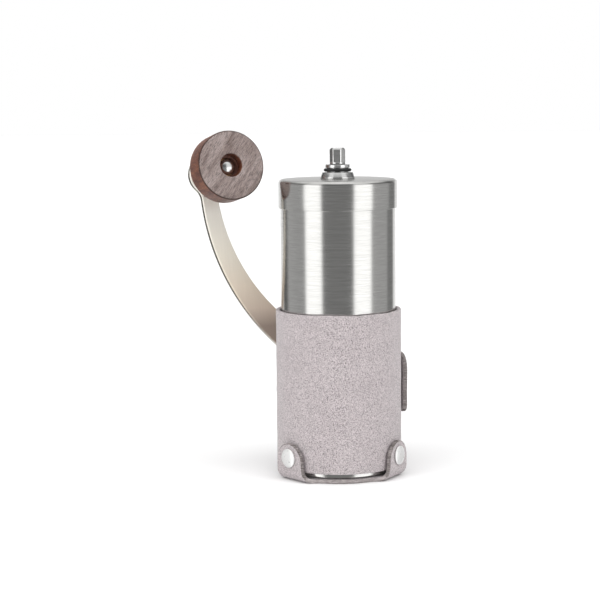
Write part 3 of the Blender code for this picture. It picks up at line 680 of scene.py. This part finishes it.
def build_leather():
    """The sleeve with its butt seam, the keeper strap round it and the base under it."""
    low, high = span("sleeve")
    face = radius_of("sleeve")
    tab_seats = [outward(a) * face + Vector((0, 0, TAB_RIVET_Z)) for a in TAB_ANGLES.values()]
    turns = (SEAM_ANGLE + SEAM_HALF, SEAM_ANGLE + 360 - SEAM_HALF)

    def sleeve_low(angle):
        return low.z

    def sleeve_top(angle):
        out = outward(angle)
        return high.z + 0.25 * noise.noise(out * 2.3) + 0.12 * noise.noise(out * 9.0)

    bm = band(sleeve_reach, sleeve_low, sleeve_top, *turns, tab_seats, 0.14)
    make_piece("sleeve_leather", bm, ("leather", "leather"), "holder", "sleeve")

    k_low, k_high = span("keeper_strap")
    outer = face + LEATHER
    seats = [outward(a) * outer + Vector((0, 0, KEEPER_RIVET_Z)) for a in KEEPER_RIVETS.values()]
    top_corner, low_corner = 6.0, 3.0

    def keeper_top(angle):
        drop = (k_high.z - KEEPER_LOW_TOP) * smoothstep((angle - KEEPER_SLOPE[0]) / KEEPER_SLOPE[1])
        return k_high.z - drop - corner_drop(angle, face, top_corner)

    def keeper_low(angle):
        return k_low.z + corner_drop(angle, face, low_corner)

    bm = band(keeper_reach, keeper_low, keeper_top, KEEPER_FROM, KEEPER_TO, seats, 0.16)
    make_piece("keeper_leather", bm, ("leather", "edge"), "holder", "keeper_strap")
    make_piece("base_leather", build_cradle(), ("leather", "edge", "rim"), "holder", "base_cradle")


def radial_turn(angle):
    """Rotation that takes local +Z to the outward direction at this angle."""
    return outward(angle).to_track_quat("Z", "Y").to_matrix()


def build_rivets():
    """Polished caps with a rolled rim, and the flanged posts behind them."""
    lift = 0.1
    face = radius_of("sleeve") + GAP + LEATHER + lift
    back = radius_of("sleeve") - LEATHER + lift
    head_r, head_h, rim_h = 3.9, 1.3, 0.35
    stem_r, stem_foot = 0.65, face - 1.4
    flange_r, flange_top = 3.1, back + 0.5
    tube_r, tube_top = 1.5, face - 0.6
    cap = [(0, stem_foot), (stem_r, stem_foot), (stem_r, face), (head_r - 0.15, face)]
    cap += [(head_r, face + 0.12)]
    cap += [(head_r * cos(t), face + rim_h + (head_h - rim_h) * sin(t)) for t in quarter(12)]
    post = [(0, back), (flange_r, back, 0.2), (flange_r, flange_top, 0.15), (tube_r, flange_top)]
    post += [(tube_r, tube_top), (0, tube_top)]
    seats = [(f"base_{n}", a, TAB_RIVET_Z) for n, a in TAB_ANGLES.items()]
    seats += [(f"keeper_{n}", a, KEEPER_RIVET_Z) for n, a in KEEPER_RIVETS.items()]
    for name, angle, height in seats:
        where = place(z=height, turn=radial_turn(angle))
        node = f"{name}_rivet"
        bm = turned(cap, 64, closed=False)
        make_piece(f"{node}_cap", bm, "nickel", "holder", node, matrix=where)
        bm = turned(post, 48, closed=False)
        make_piece(f"{node}_back", bm, "bright_steel", "holder", f"{node}_post", matrix=where)


# ---------------------------------------------------------------- steel body


def build_cup():
    low, high = span("receiver_cup")
    r = radius_of("receiver_cup")
    inside = r - TUBE_WALL
    floor_z = low.z + TUBE_WALL
    dish = low.z + 0.4
    profile = [(0, dish), (r - 4.5, dish, 1.0), (r - 3.8, low.z, 0.4), (r, low.z, 0.6)]
    profile += [(r, high.z, 0.3), (inside, high.z, 0.3), (inside, floor_z, 1.4), (0, floor_z)]
    make_piece("cup_shell", turned(profile, 144, closed=False), "body_steel", "cup", "receiver_cup")


def build_barrel():
    low, high = span("barrel")
    r = radius_of("barrel")
    profile = ring(r - TUBE_WALL, r, low.z, high.z, 0.3)
    make_piece("barrel_shell", turned(profile, 144), "body_steel", "barrel_unit", "barrel")


def build_lid():
    """The cap, with the collar that is held in it by a nut under a moulded liner."""
    low, high = span("lid_cap")
    flange = high.z
    r = radius_of("lid_cap")
    inside, hole = r - 0.5, 5.0
    under = high.z - 1.2
    edge_r = 1.5
    profile = [(hole, high.z), (hole, under), (inside, under, 0.6), (inside, low.z, 0.1)]
    profile += [(r, low.z, 0.2), (r, high.z, edge_r)]
    bm = turned(profile, 160)
    for face in bm.faces:
        middle = face.calc_center_median()
        if middle.z > high.z - 0.05 and hypot(middle.x, middle.y) < r - 0.8 * edge_r:
            face.material_index = 1
    make_piece("lid_shell", bm, ("body_steel", "top_steel"), "lid", "lid_cap")

    low, high = span("lid_collar")
    r = radius_of("lid_collar")
    bore, tube_r, groove, neck, shoulder = 3.7, 4.7, 4.5, 5.1, 6.4
    groove_low, groove_high = 125.2, 127.0
    profile = [(bore, low.z, 0.15), (tube_r, low.z, 0.3), (tube_r, flange), (r, flange, 0.1)]
    profile += [(r, flange + 0.9, 0.25), (shoulder, groove_low, 0.2), (groove, groove_low, 0.1)]
    profile += [(groove, groove_high, 0.1), (neck, groove_high, 0.2), (neck, high.z, 0.25)]
    profile += [(bore, high.z, 0.2)]
    make_piece("collar_turned", turned(profile, 96, fine=4), "bright_steel", "lid", "lid_collar")

    low, high = span("lid_o_ring")
    ring_r = 0.62
    middle = groove + ring_r
    height = (low.z + high.z) / 2
    turns = [tau * i / 20 for i in range(20)]
    around = [(middle + ring_r * cos(t), height + ring_r * sin(t)) for t in turns]
    make_piece("o_ring_round", turned(around, 96), "rubber", "lid", "lid_o_ring")

    low, high = span("lid_liner")
    r = radius_of("lid_liner")
    bevel = 1.4
    profile = [(hole, low.z), (r - bevel, low.z, 0.4), (r, low.z + 0.8, 0.3)]
    profile += [(r, high.z, 0.2), (hole, high.z)]
    make_piece("liner_moulded", turned(profile, 96), "plastic", "lid", "lid_liner")

    low, high = span("lid_nut")
    across, corners = 14.0, 8.3
    profile = [(hole, low.z, 0.2), (corners, low.z, 0.4), (corners, high.z, 0.4), (hole, high.z, 0.2)]
    hexagon = flats(across, where=lambda r, z: r > hole + 0.5)
    make_piece("lid_nut_hex", turned(profile, 96, shape=hexagon), "bright_steel", "lid", "lid_nut")


def build_shaft():
    """A round rod, threaded at the foot, six-sided where it drives the burr and where the crank fits on."""
    low, high = span("drive_shaft")
    rod_r, tip_r, thread_r, groove_r = 3.0, 3.26, 2.5, 2.5
    thread_top, drive_top, tip_bottom = 50.2, 68.5, 128.7
    groove_low, groove_high = 77.6, 78.8
    pitch, thread_depth = 0.8, 0.38
    threads = []
    turns = int((thread_top - low.z - pitch) / pitch)
    for i in range(turns):
        z = low.z + 0.5 + i * pitch
        threads += [(thread_r - thread_depth, z), (thread_r, z + pitch / 2)]
    profile = [(0, low.z), (thread_r - 0.5, low.z, 0.1), *threads, (thread_r - 0.3, thread_top - 0.1)]
    profile += [(rod_r - 0.15, thread_top), (rod_r, thread_top + 0.2), (rod_r, drive_top)]
    profile += [(rod_r, drive_top + 0.01), (rod_r, groove_low), (groove_r, groove_low)]
    profile += [(groove_r, groove_high)]
    profile += [(rod_r, groove_high), (rod_r, tip_bottom - 0.4, 0.1), (tip_r, tip_bottom, 0.1)]
    profile += [(tip_r, tip_bottom + 0.5), (tip_r, tip_bottom + 0.62), (tip_r, high.z - 0.75, 0.25)]
    profile += [(tip_r - 0.7, high.z, 0.2), (0, high.z)]
    drive = flats(5.2, where=lambda r, z: thread_top < z < drive_top + 0.005)
    tip = flats(5.9, radians(-38.0), where=lambda r, z: z > tip_bottom + 0.55)

    def six_sided(r, z, angle):
        return min(drive(r, z, angle), tip(r, z, angle))

    bm = turned(profile, 120, closed=False, shape=six_sided, fine=3)
    make_piece("shaft_turned", bm, "bright_steel", "drive", "drive_shaft", sharp=24.0)

    low, high = span("thrust_washer")
    profile = ring(SHAFT_BORE, radius_of("thrust_washer"), low.z, high.z, 0.12)
    make_piece("thrust_washer_turned", turned(profile, 64), "bright_steel", "drive", "thrust_washer")


# ---------------------------------------------------------------- crank


def crank_matrix():
    """The plate's own frame, from the knob's joint: X across it, Y up along it, Z towards the knob."""
    joint = next(j for j in frame["joints"] if j["name"] == "knob_spin")
    facing = Vector(joint["axis"]).normalized()
    across = Vector((-facing.y, facing.x, 0.0)).normalized()
    across = across if across.x > 0 else -across
    along = facing.cross(across)
    turn = Matrix((across, along, facing)).transposed()
    eye = Vector(joint["pos_m"])
    return Matrix.Translation(eye - turn @ Vector((*EYE_AT, 0.0)) * MM) @ turn.to_4x4()


def crossing(centre, radius, disc, disc_radius, near):
    """The point where an arc's circle meets a disc's edge, the one nearer to near."""
    c, d = Vector(centre), Vector(disc)
    between = d - c
    reach = between.length
    a = (radius**2 - disc_radius**2 + reach**2) / (2 * reach)
    h = sqrt(max(radius**2 - a**2, 0.0))
    foot = c + between * a / reach
    side = Vector((-between.y, between.x)).normalized() * h
    return min((foot + side, foot - side), key=lambda p: (p - Vector(near)).length)


def arc(centre, radius, start, end, steps, turn):
    """Points from start to end about a centre; turn is +1 for growing angles and -1 for falling ones."""
    first = atan2(start[1] - centre[1], start[0] - centre[0])
    last = atan2(end[1] - centre[1], end[0] - centre[0])
    sweep = turn * ((turn * (last - first)) % tau)
    angles = [first + sweep * i / steps for i in range(steps)]
    return [Vector((centre[0] + radius * cos(a), centre[1] + radius * sin(a))) for a in angles]


def arm_outline():
    """The plate's edge: round the eye, down the outer arc, round the hub and back up the inner arc."""
    middle = Vector(((EYE_AT[0] + HUB_AT[0]) / 2, (EYE_AT[1] + HUB_AT[1]) / 2))
    outer_side, inner_side = middle + Vector((-20, -20)), middle + Vector((10, 10))
    eye_out = crossing(ARM_OUTER[:2], ARM_OUTER[2], EYE_AT, EYE_R, (EYE_AT[0] - 10, EYE_AT[1] - 10))
    eye_in = crossing(ARM_INNER[:2], ARM_INNER[2], EYE_AT, EYE_R, (EYE_AT[0] + 10, EYE_AT[1] - 10))
    hub_out = crossing(ARM_OUTER[:2], ARM_OUTER[2], HUB_AT, HUB_R, outer_side)
    hub_in = crossing(ARM_INNER[:2], ARM_INNER[2], HUB_AT, HUB_R, inner_side)
    points = arc(EYE_AT, EYE_R, eye_in, eye_out, 60, 1)
    points += arc(ARM_OUTER, ARM_OUTER[2], eye_out, hub_out, 110, 1)
    points += arc(HUB_AT, HUB_R, hub_out, hub_in, 60, 1)
    points += arc(ARM_INNER, ARM_INNER[2], hub_in, eye_in, 110, -1)
    rounds, sharp_bend, strong, weak = 12, 0.11, 0.5, 0.12
    for _ in range(rounds):
        smooth = []
        for i, p in enumerate(points):
            before, after = points[i - 1], points[(i + 1) % len(points)]
            bend = abs((p - before).angle_signed(after - p, 0.0))
            smooth.append(p.lerp((before + after) / 2, strong if bend > sharp_bend else weak))
        points = smooth
    return points


def plate_solid(outline, low, high, edge, steps=4):
    """A flat plate with rounded edges; its straight side has the second material."""
    count = len(outline)
    inward = []
    for i, p in enumerate(outline):
        slope = outline[(i + 1) % count] - outline[i - 1]
        inward.append(Vector((-slope.y, slope.x)).normalized())
    area = sum(a.cross(b) for a, b in zip(outline, outline[1:] + outline[:1]))
    sign = 1 if area > 0 else -1
    levels = [(edge * (1 - sin(t)), low + edge * (1 - cos(t))) for t in quarter(steps)]
    levels += [(inset, high + low - z) for inset, z in levels[::-1]]
    bm = bmesh.new()
    rows = []
    for inset, z in levels:
        rows.append([bm.verts.new((*(p + n * inset * sign), z)) for p, n in zip(outline, inward)])
    for a, b in zip(rows, rows[1:]):
        for i in range(count):
            j = (i + 1) % count
            face = bm.faces.new((a[i], a[j], b[j], b[i]))
            face.material_index = 1 if a is rows[steps] else 0
    for row in (rows[0], rows[-1]):
        bm.faces.new(row)
    return bm


def flat_caps(obj):
    """Large flat faces stay flat-shaded, so that their light is even."""
    for polygon in obj.data.polygons:
        if len(polygon.vertices) > 4:
            polygon.use_smooth = False


def build_crank():
    """The arm with its socket boss, and the axle, washer and knob at its eye."""
    matrix = crank_matrix()
    plate = plate_solid(arm_outline(), -PLATE, 0.0, 0.55)
    arm = make_piece("arm_plate", plate, ("arm_steel", "arm_edge"), "crank", "crank_arm", matrix=matrix)
    flat_caps(arm)

    on_hub = matrix @ place(*HUB_AT)
    back, socket_floor, spigot, boss_r, socket_r = -8.6, -2.1, 4.6, 5.6, 3.5
    profile = [(0, 0.15), (spigot - 0.3, 0.15), (spigot, -0.15), (spigot, -PLATE), (boss_r, -PLATE, 0.3)]
    profile += [(boss_r, back, 0.5), (socket_r + 0.2, back, 0.2), (socket_r, back + 0.3)]
    profile += [(socket_r, socket_floor), (0, socket_floor)]
    socket = flats(6.1, where=lambda r, z: r <= socket_r + 0.01 and z < -1.0)
    boss = turned(profile, 96, closed=False, shape=socket)
    make_piece("boss_turned", boss, "bright_steel", "crank", "hub_boss", matrix=on_hub, sharp=30.0)

    on_axle = matrix @ place(*EYE_AT)
    axle_r, head_r, head, head_h = 2.2, 3.4, 20.4, 1.7
    tail, seat = -PLATE - 0.6, -PLATE + 0.1
    profile = [(0, tail), (axle_r + 0.9, tail, 0.3), (axle_r + 1.1, seat), (axle_r, seat)]
    profile += [(axle_r, head), (head_r - 0.1, head)]
    profile += [(head_r * cos(t), head + 0.7 + head_h * sin(t)) for t in quarter(12)]
    axle = turned(profile, 72, closed=False)
    make_piece("axle_turned", axle, "bright_steel", "crank", "knob_axle", matrix=on_axle)

    washer_r, washer_h = 6.6, 1.45
    washer = turned(ring(axle_r + 0.2, washer_r, 0.0, washer_h, 0.25), 72)
    make_piece("knob_washer_turned", washer, "bright_steel", "crank", "knob_washer", matrix=on_axle)
    build_knob(on_axle)


def build_knob(on_axle):
    """A disc on a waisted neck, with a recess for the axle's head; its face is paler and greyer, a painted
    sheen.
    """
    neck, waist, foot = 8.0, 7.0, 8.4
    recess_r, recess_floor, bore, bush_bore = 4.85, 21.0, 3.7, 2.4
    disc_back = KNOB_FRONT - 11.0
    points = [(bore, KNOB_BACK, 0.2), (neck, KNOB_BACK, 0.6), (waist, KNOB_BACK + 4, 6.0)]
    points += [(foot, disc_back - 2.0, 1.6), (KNOB_R, disc_back, 1.3), (KNOB_R, KNOB_FRONT, 0.75)]
    points += [(recess_r, KNOB_FRONT, 0.45), (recess_r, recess_floor, 0.4), (bore, recess_floor, 0.2)]
    bm = turned(points, 128, fine=7)
    for face in bm.faces:
        middle = face.calc_center_median()
        out = hypot(middle.x, middle.y)
        if middle.z > KNOB_FRONT - 0.5 and out > recess_r:
            # Index 1 is the face with its painted sheen; index 2 is the dark line round its rounded edge.
            face.material_index = 1 if out < KNOB_R - 0.45 else 2
    make_piece("knob_turned", bm, ("wood", "wood_face", "wood_rim"), "knob", "knob", matrix=on_axle)
    profile = ring(bush_bore, bore, KNOB_BACK, recess_floor - 0.9, 0.15)
    make_piece("knob_bush_turned", turned(profile, 64), "bronze", "knob", "knob_bush", matrix=on_axle)


# ---------------------------------------------------------------- burr set


def tooth_wave(twist, deepen, low, high, throat, chosen):
    """A shape for turned(): saw teeth that lean with height and are deeper above the throat."""
    flank = 0.75

    def cut(r, z, angle):
        if not chosen(r):
            return r
        turn = angle - radians(twist) * (z - low) / (high - low)
        phase = (turn * TEETH / tau) % 1.0
        saw = phase / flank if phase < flank else (1 - phase) / (1 - flank)
        return r - (TOOTH_DEPTH + deepen * smoothstep((z - throat) / 6)) * saw

    return cut


def build_burrs():
    """The toothed ring in the barrel, and the toothed cone on the shaft that turns in it."""
    low, high = span("outer_burr")
    r = radius_of("outer_burr")
    throat = (low.z + high.z) / 2
    foot, waist = (13.8, low.z), (13.1, throat)
    neck, mouth = (13.3, throat + 2.5), (15.8, high.z)
    profile = [foot, (r, low.z, 0.4), (r, high.z, 0.4)]
    profile += [*straight(mouth, neck, 10), neck, *straight(waist, foot, 10)]
    wave = tooth_wave(-TOOTH_TWIST, 0.6, low.z, high.z, throat, lambda q: q < r - 1)
    bm = turned(profile, 336, shape=wave)
    make_piece("outer_burr_toothed", bm, "ceramic", "barrel_unit", "outer_burr", sharp=30.0)

    low, high = span("inner_burr")
    foot, tip, bore, steps = 12.8, 7.0, 3.5, 16
    chamfer = low.z + 1.4
    profile = [(bore, low.z), (foot - 0.9, low.z), (foot - 0.1, low.z + 0.8)]
    for i in range(steps + 1):
        t = i / steps
        profile.append((foot - (foot - tip) * t**1.35, chamfer + (high.z - 0.4 - chamfer) * t))
    profile += [(tip - 0.6, high.z), (bore, high.z)]
    wave = tooth_wave(TOOTH_TWIST, 0.7, low.z, high.z, throat, lambda q: q > bore + 1)
    bm = turned(profile, 336, shape=wave)
    make_piece("inner_burr_toothed", bm, "ceramic", "burr_stack", "inner_burr", sharp=30.0)

    low, high = span("burr_retainer")
    profile = ring(14.6, radius_of("burr_retainer"), low.z, high.z, 0.2)
    make_piece("retainer_turned", turned(profile, 128), "bright_steel", "barrel_unit", "burr_retainer")
    build_retainer_screws()


def build_retainer_screws():
    """Small screws with a socket in the head, which faces down."""
    low, high = span("retainer_screw_1")
    head_r, shank_r, socket_r = 1.3, 0.7, 0.55
    head_top, socket_top = low.z + 1.55, low.z + 0.5
    profile = [(0, socket_top), (socket_r, socket_top), (0.62, low.z), (1.0, low.z, 0.1)]
    profile += [(head_r, low.z + 0.35, 0.1), (head_r, head_top), (shank_r, head_top + 0.05)]
    profile += [(shank_r, high.z), (0, high.z)]
    socket = flats(2 * socket_r, where=lambda q, z: q < shank_r and z < head_top)
    for i in range(SPOKES):
        angle = tau * i / SPOKES
        where = place(SCREW_CIRCLE * cos(angle), SCREW_CIRCLE * sin(angle))
        name = f"retainer_screw_{i + 1}"
        bm = turned(profile, 36, closed=False, shape=socket)
        make_piece(f"screw_{i + 1}", bm, "bright_steel", "barrel_unit", name, matrix=where)


def build_adjuster():
    """The star nut with the sprung washer that clicks on it, and the seal above."""
    low, high = span("adjusting_nut")
    r = radius_of("adjusting_nut")
    lobes, lobe_depth, bore = 9, 0.9, 2.8
    boss_r, step = 5.6, low.z + 0.4

    def star(q, z, angle):
        return q - lobe_depth * (1 - cos(lobes * angle)) * smoothstep((q - 5.0) / 3.0)

    profile = [(bore, low.z, 0.2), (boss_r, low.z, 0.2), (boss_r + 0.4, step, 0.2), (r, step, 0.6)]
    profile += [(r, high.z, 0.6), (bore, high.z, 0.2)]
    make_piece("star_nut_moulded", turned(profile, 180, shape=star), "plastic", "nut", "adjusting_nut")

    low, high = span("detent_washer")
    profile = ring(3.2, radius_of("detent_washer"), low.z, high.z, 0.12)
    make_piece("detent_washer_pressed", turned(profile, 72), "bright_steel", "burr_stack", "detent_washer")

    low, high = span("cup_gasket")
    profile = ring(21.6, radius_of("cup_gasket"), low.z, high.z, 0.5)
    make_piece("gasket_moulded", turned(profile, 128), "silicone", "barrel_unit", "cup_gasket")


def build_bushes():
    """The two sintered bushes that the shaft turns in; the lower one has a flange under it."""
    low, high = span("bearing_bush")
    outer, flange_r, flange = 4.3, radius_of("bearing_bush"), low.z + 0.3
    profile = [(SHAFT_BORE, low.z, 0.1), (flange_r, low.z, 0.1), (flange_r, flange), (outer, flange)]
    profile += [(outer, high.z, 0.15), (SHAFT_BORE, high.z, 0.15)]
    make_piece("lower_bush_sintered", turned(profile, 64), "bronze", "barrel_unit", "bearing_bush")
    low, high = span("upper_bush")
    profile = ring(SHAFT_BORE, outer, low.z, high.z, 0.15)
    make_piece("upper_bush_sintered", turned(profile, 64), "bronze", "barrel_unit", "upper_bush")


def build_spring():
    """The spring under the lower bush, wound a little short: it rides on the burr, which rises."""
    low, high = span("burr_spring")
    wire, burr_rise = 0.45, 0.35
    coil_r = radius_of("burr_spring") - wire
    turns, per_turn, sides = 3, 40, 12
    steps = turns * per_turn
    foot = low.z + wire
    rise = high.z - wire - burr_rise - foot
    bm = bmesh.new()
    rows = []
    for i in range(steps + 1):
        angle = tau * i / per_turn
        height = foot + rise * i / steps
        row = []
        for k in range(sides):
            t = tau * k / sides
            q = coil_r + wire * cos(t)
            row.append(bm.verts.new((q * cos(angle), q * sin(angle), height + wire * sin(t))))
        rows.append(row)
    for a, b in zip(rows, rows[1:]):
        for k in range(sides):
            j = (k + 1) % sides
            bm.faces.new((a[k], a[j], b[j], b[k]))
    for row in (rows[0], rows[-1]):
        bm.faces.new(row)
    make_piece("spring_wound", bm, "bright_steel", "burr_stack", "burr_spring")


def finish_frame_nodes():
    """The frame's own solids that stay visible get their materials."""
    finishes = {"burr_carrier": "plastic", "upper_bridge": "plastic", "retaining_clip": "bright_steel"}
    for name, finish in finishes.items():
        materials = frame["nodes"][name].data.materials
        materials.clear()
        materials.append(FINISH[finish])


# ---------------------------------------------------------------- stage


def add_sun(name, azimuth, elevation, energy, width):
    """A broad soft light that doesn't show in the steel; the angles are in degrees."""
    lamp = bpy.data.lights.new(name, "SUN")
    lamp.energy = energy
    lamp.angle = radians(width)
    sun = new_object(name, lamp)
    towards = outward(azimuth) * cos(radians(elevation)) + Vector((0, 0, sin(radians(elevation))))
    sun.matrix_world = place(z=800.0, turn=towards.to_track_quat("Z", "Y").to_matrix())
    sun.visible_glossy = False


def build_floor():
    """A plain pale floor that doesn't show in the steel."""
    half = 6.0
    mesh = bpy.data.meshes.new("floor")
    corners = [(-half, -half, 0), (half, -half, 0), (half, half, 0), (-half, half, 0)]
    mesh.from_pydata(corners, [], [(0, 1, 2, 3)])
    ground = new_object("floor", mesh)
    made, _, shader = start_material("studio_floor", 0.9, Specular_IOR_Level=0.0)
    shader.inputs["Base Color"].default_value = (0.93, 0.93, 0.93, 1.0)
    mesh.materials.append(made)
    ground.visible_glossy = False


def build_world():
    """Upright panels of light all round, dimmer upwards, under an even ceiling; the camera sees white."""
    world = bpy.data.worlds.new("studio")
    bpy.context.scene.world = world
    world.use_nodes = True
    tree = world.node_tree
    tree.nodes.clear()
    x, y, z = split(tree, add(tree, "TexCoord").outputs["Generated"])
    turn = math_node(tree, "ARCTAN2", x, math_node(tree, "MULTIPLY", y, -1.0))
    share = spread(tree, turn, 0.0, 1.0, -pi, pi)
    panels = [(-180, 0.36), (-147, 0.33), (-141, 0.04), (-128, 0.05), (-118, 0.17), (-72, 0.14)]
    panels += [(-67, 0.56), (-36, 0.56), (-31, 0.085), (28, 0.085), (32, 0.56), (66, 0.56), (71, 0.165)]
    panels += [(112, 0.16), (117, 0.09), (138, 0.08), (146, 0.33), (180, 0.36)]
    studio = ramp(tree, share, [((angle + 180) / 360, value) for angle, value in panels])
    studio = blend(tree, 1.0, studio, ramp(tree, z, [(0.13, 1.0), (0.25, 0.5)]), "MULTIPLY")
    ceiling = ramp(tree, z, [(0.5, 0.0), (0.8, 1.0)])
    glow = blend(tree, ceiling, studio, (0.34, 0.34, 0.34))
    studio_light = add(tree, "Background", {"Color": glow, "Strength": 3.0})
    plain = add(tree, "Background", {"Color": (1.0, 1.0, 1.0, 1.0), "Strength": 1.0})
    seen = add(tree, "LightPath").outputs["Is Camera Ray"]
    mix = add(tree, "MixShader", {0: seen, 1: studio_light.outputs[0], 2: plain.outputs[0]})
    out = add(tree, "OutputWorld")
    tree.links.new(mix.outputs[0], out.inputs["Surface"])


def build_camera():
    lens, sensor = 104.1, 36.0
    at = (-15.9, -714.0, 157.4)
    tilt, roll = radians(6.79), radians(0.5)
    data = bpy.data.cameras.new("camera")
    data.lens = lens
    data.sensor_width = sensor
    camera = new_object("camera", data)
    turn = Matrix.Rotation(pi / 2 - tilt, 4, "X") @ Matrix.Rotation(-roll, 4, "Z")
    camera.matrix_world = place(*at) @ turn
    bpy.context.scene.camera = camera
    bpy.context.scene.view_settings.view_transform = "Standard"


def main():
    build_leather()
    build_rivets()
    build_cup()
    build_barrel()
    build_lid()
    build_shaft()
    build_crank()
    build_burrs()
    build_adjuster()
    build_bushes()
    build_spring()
    finish_frame_nodes()
    build_floor()
    add_sun("overhead", 0.0, 65.0, 1.2, 80.0)
    add_sun("left", -55.0, 22.0, 0.75, 60.0)
    add_sun("right", 65.0, 22.0, 0.55, 60.0)
    build_world()
    build_camera()


main()
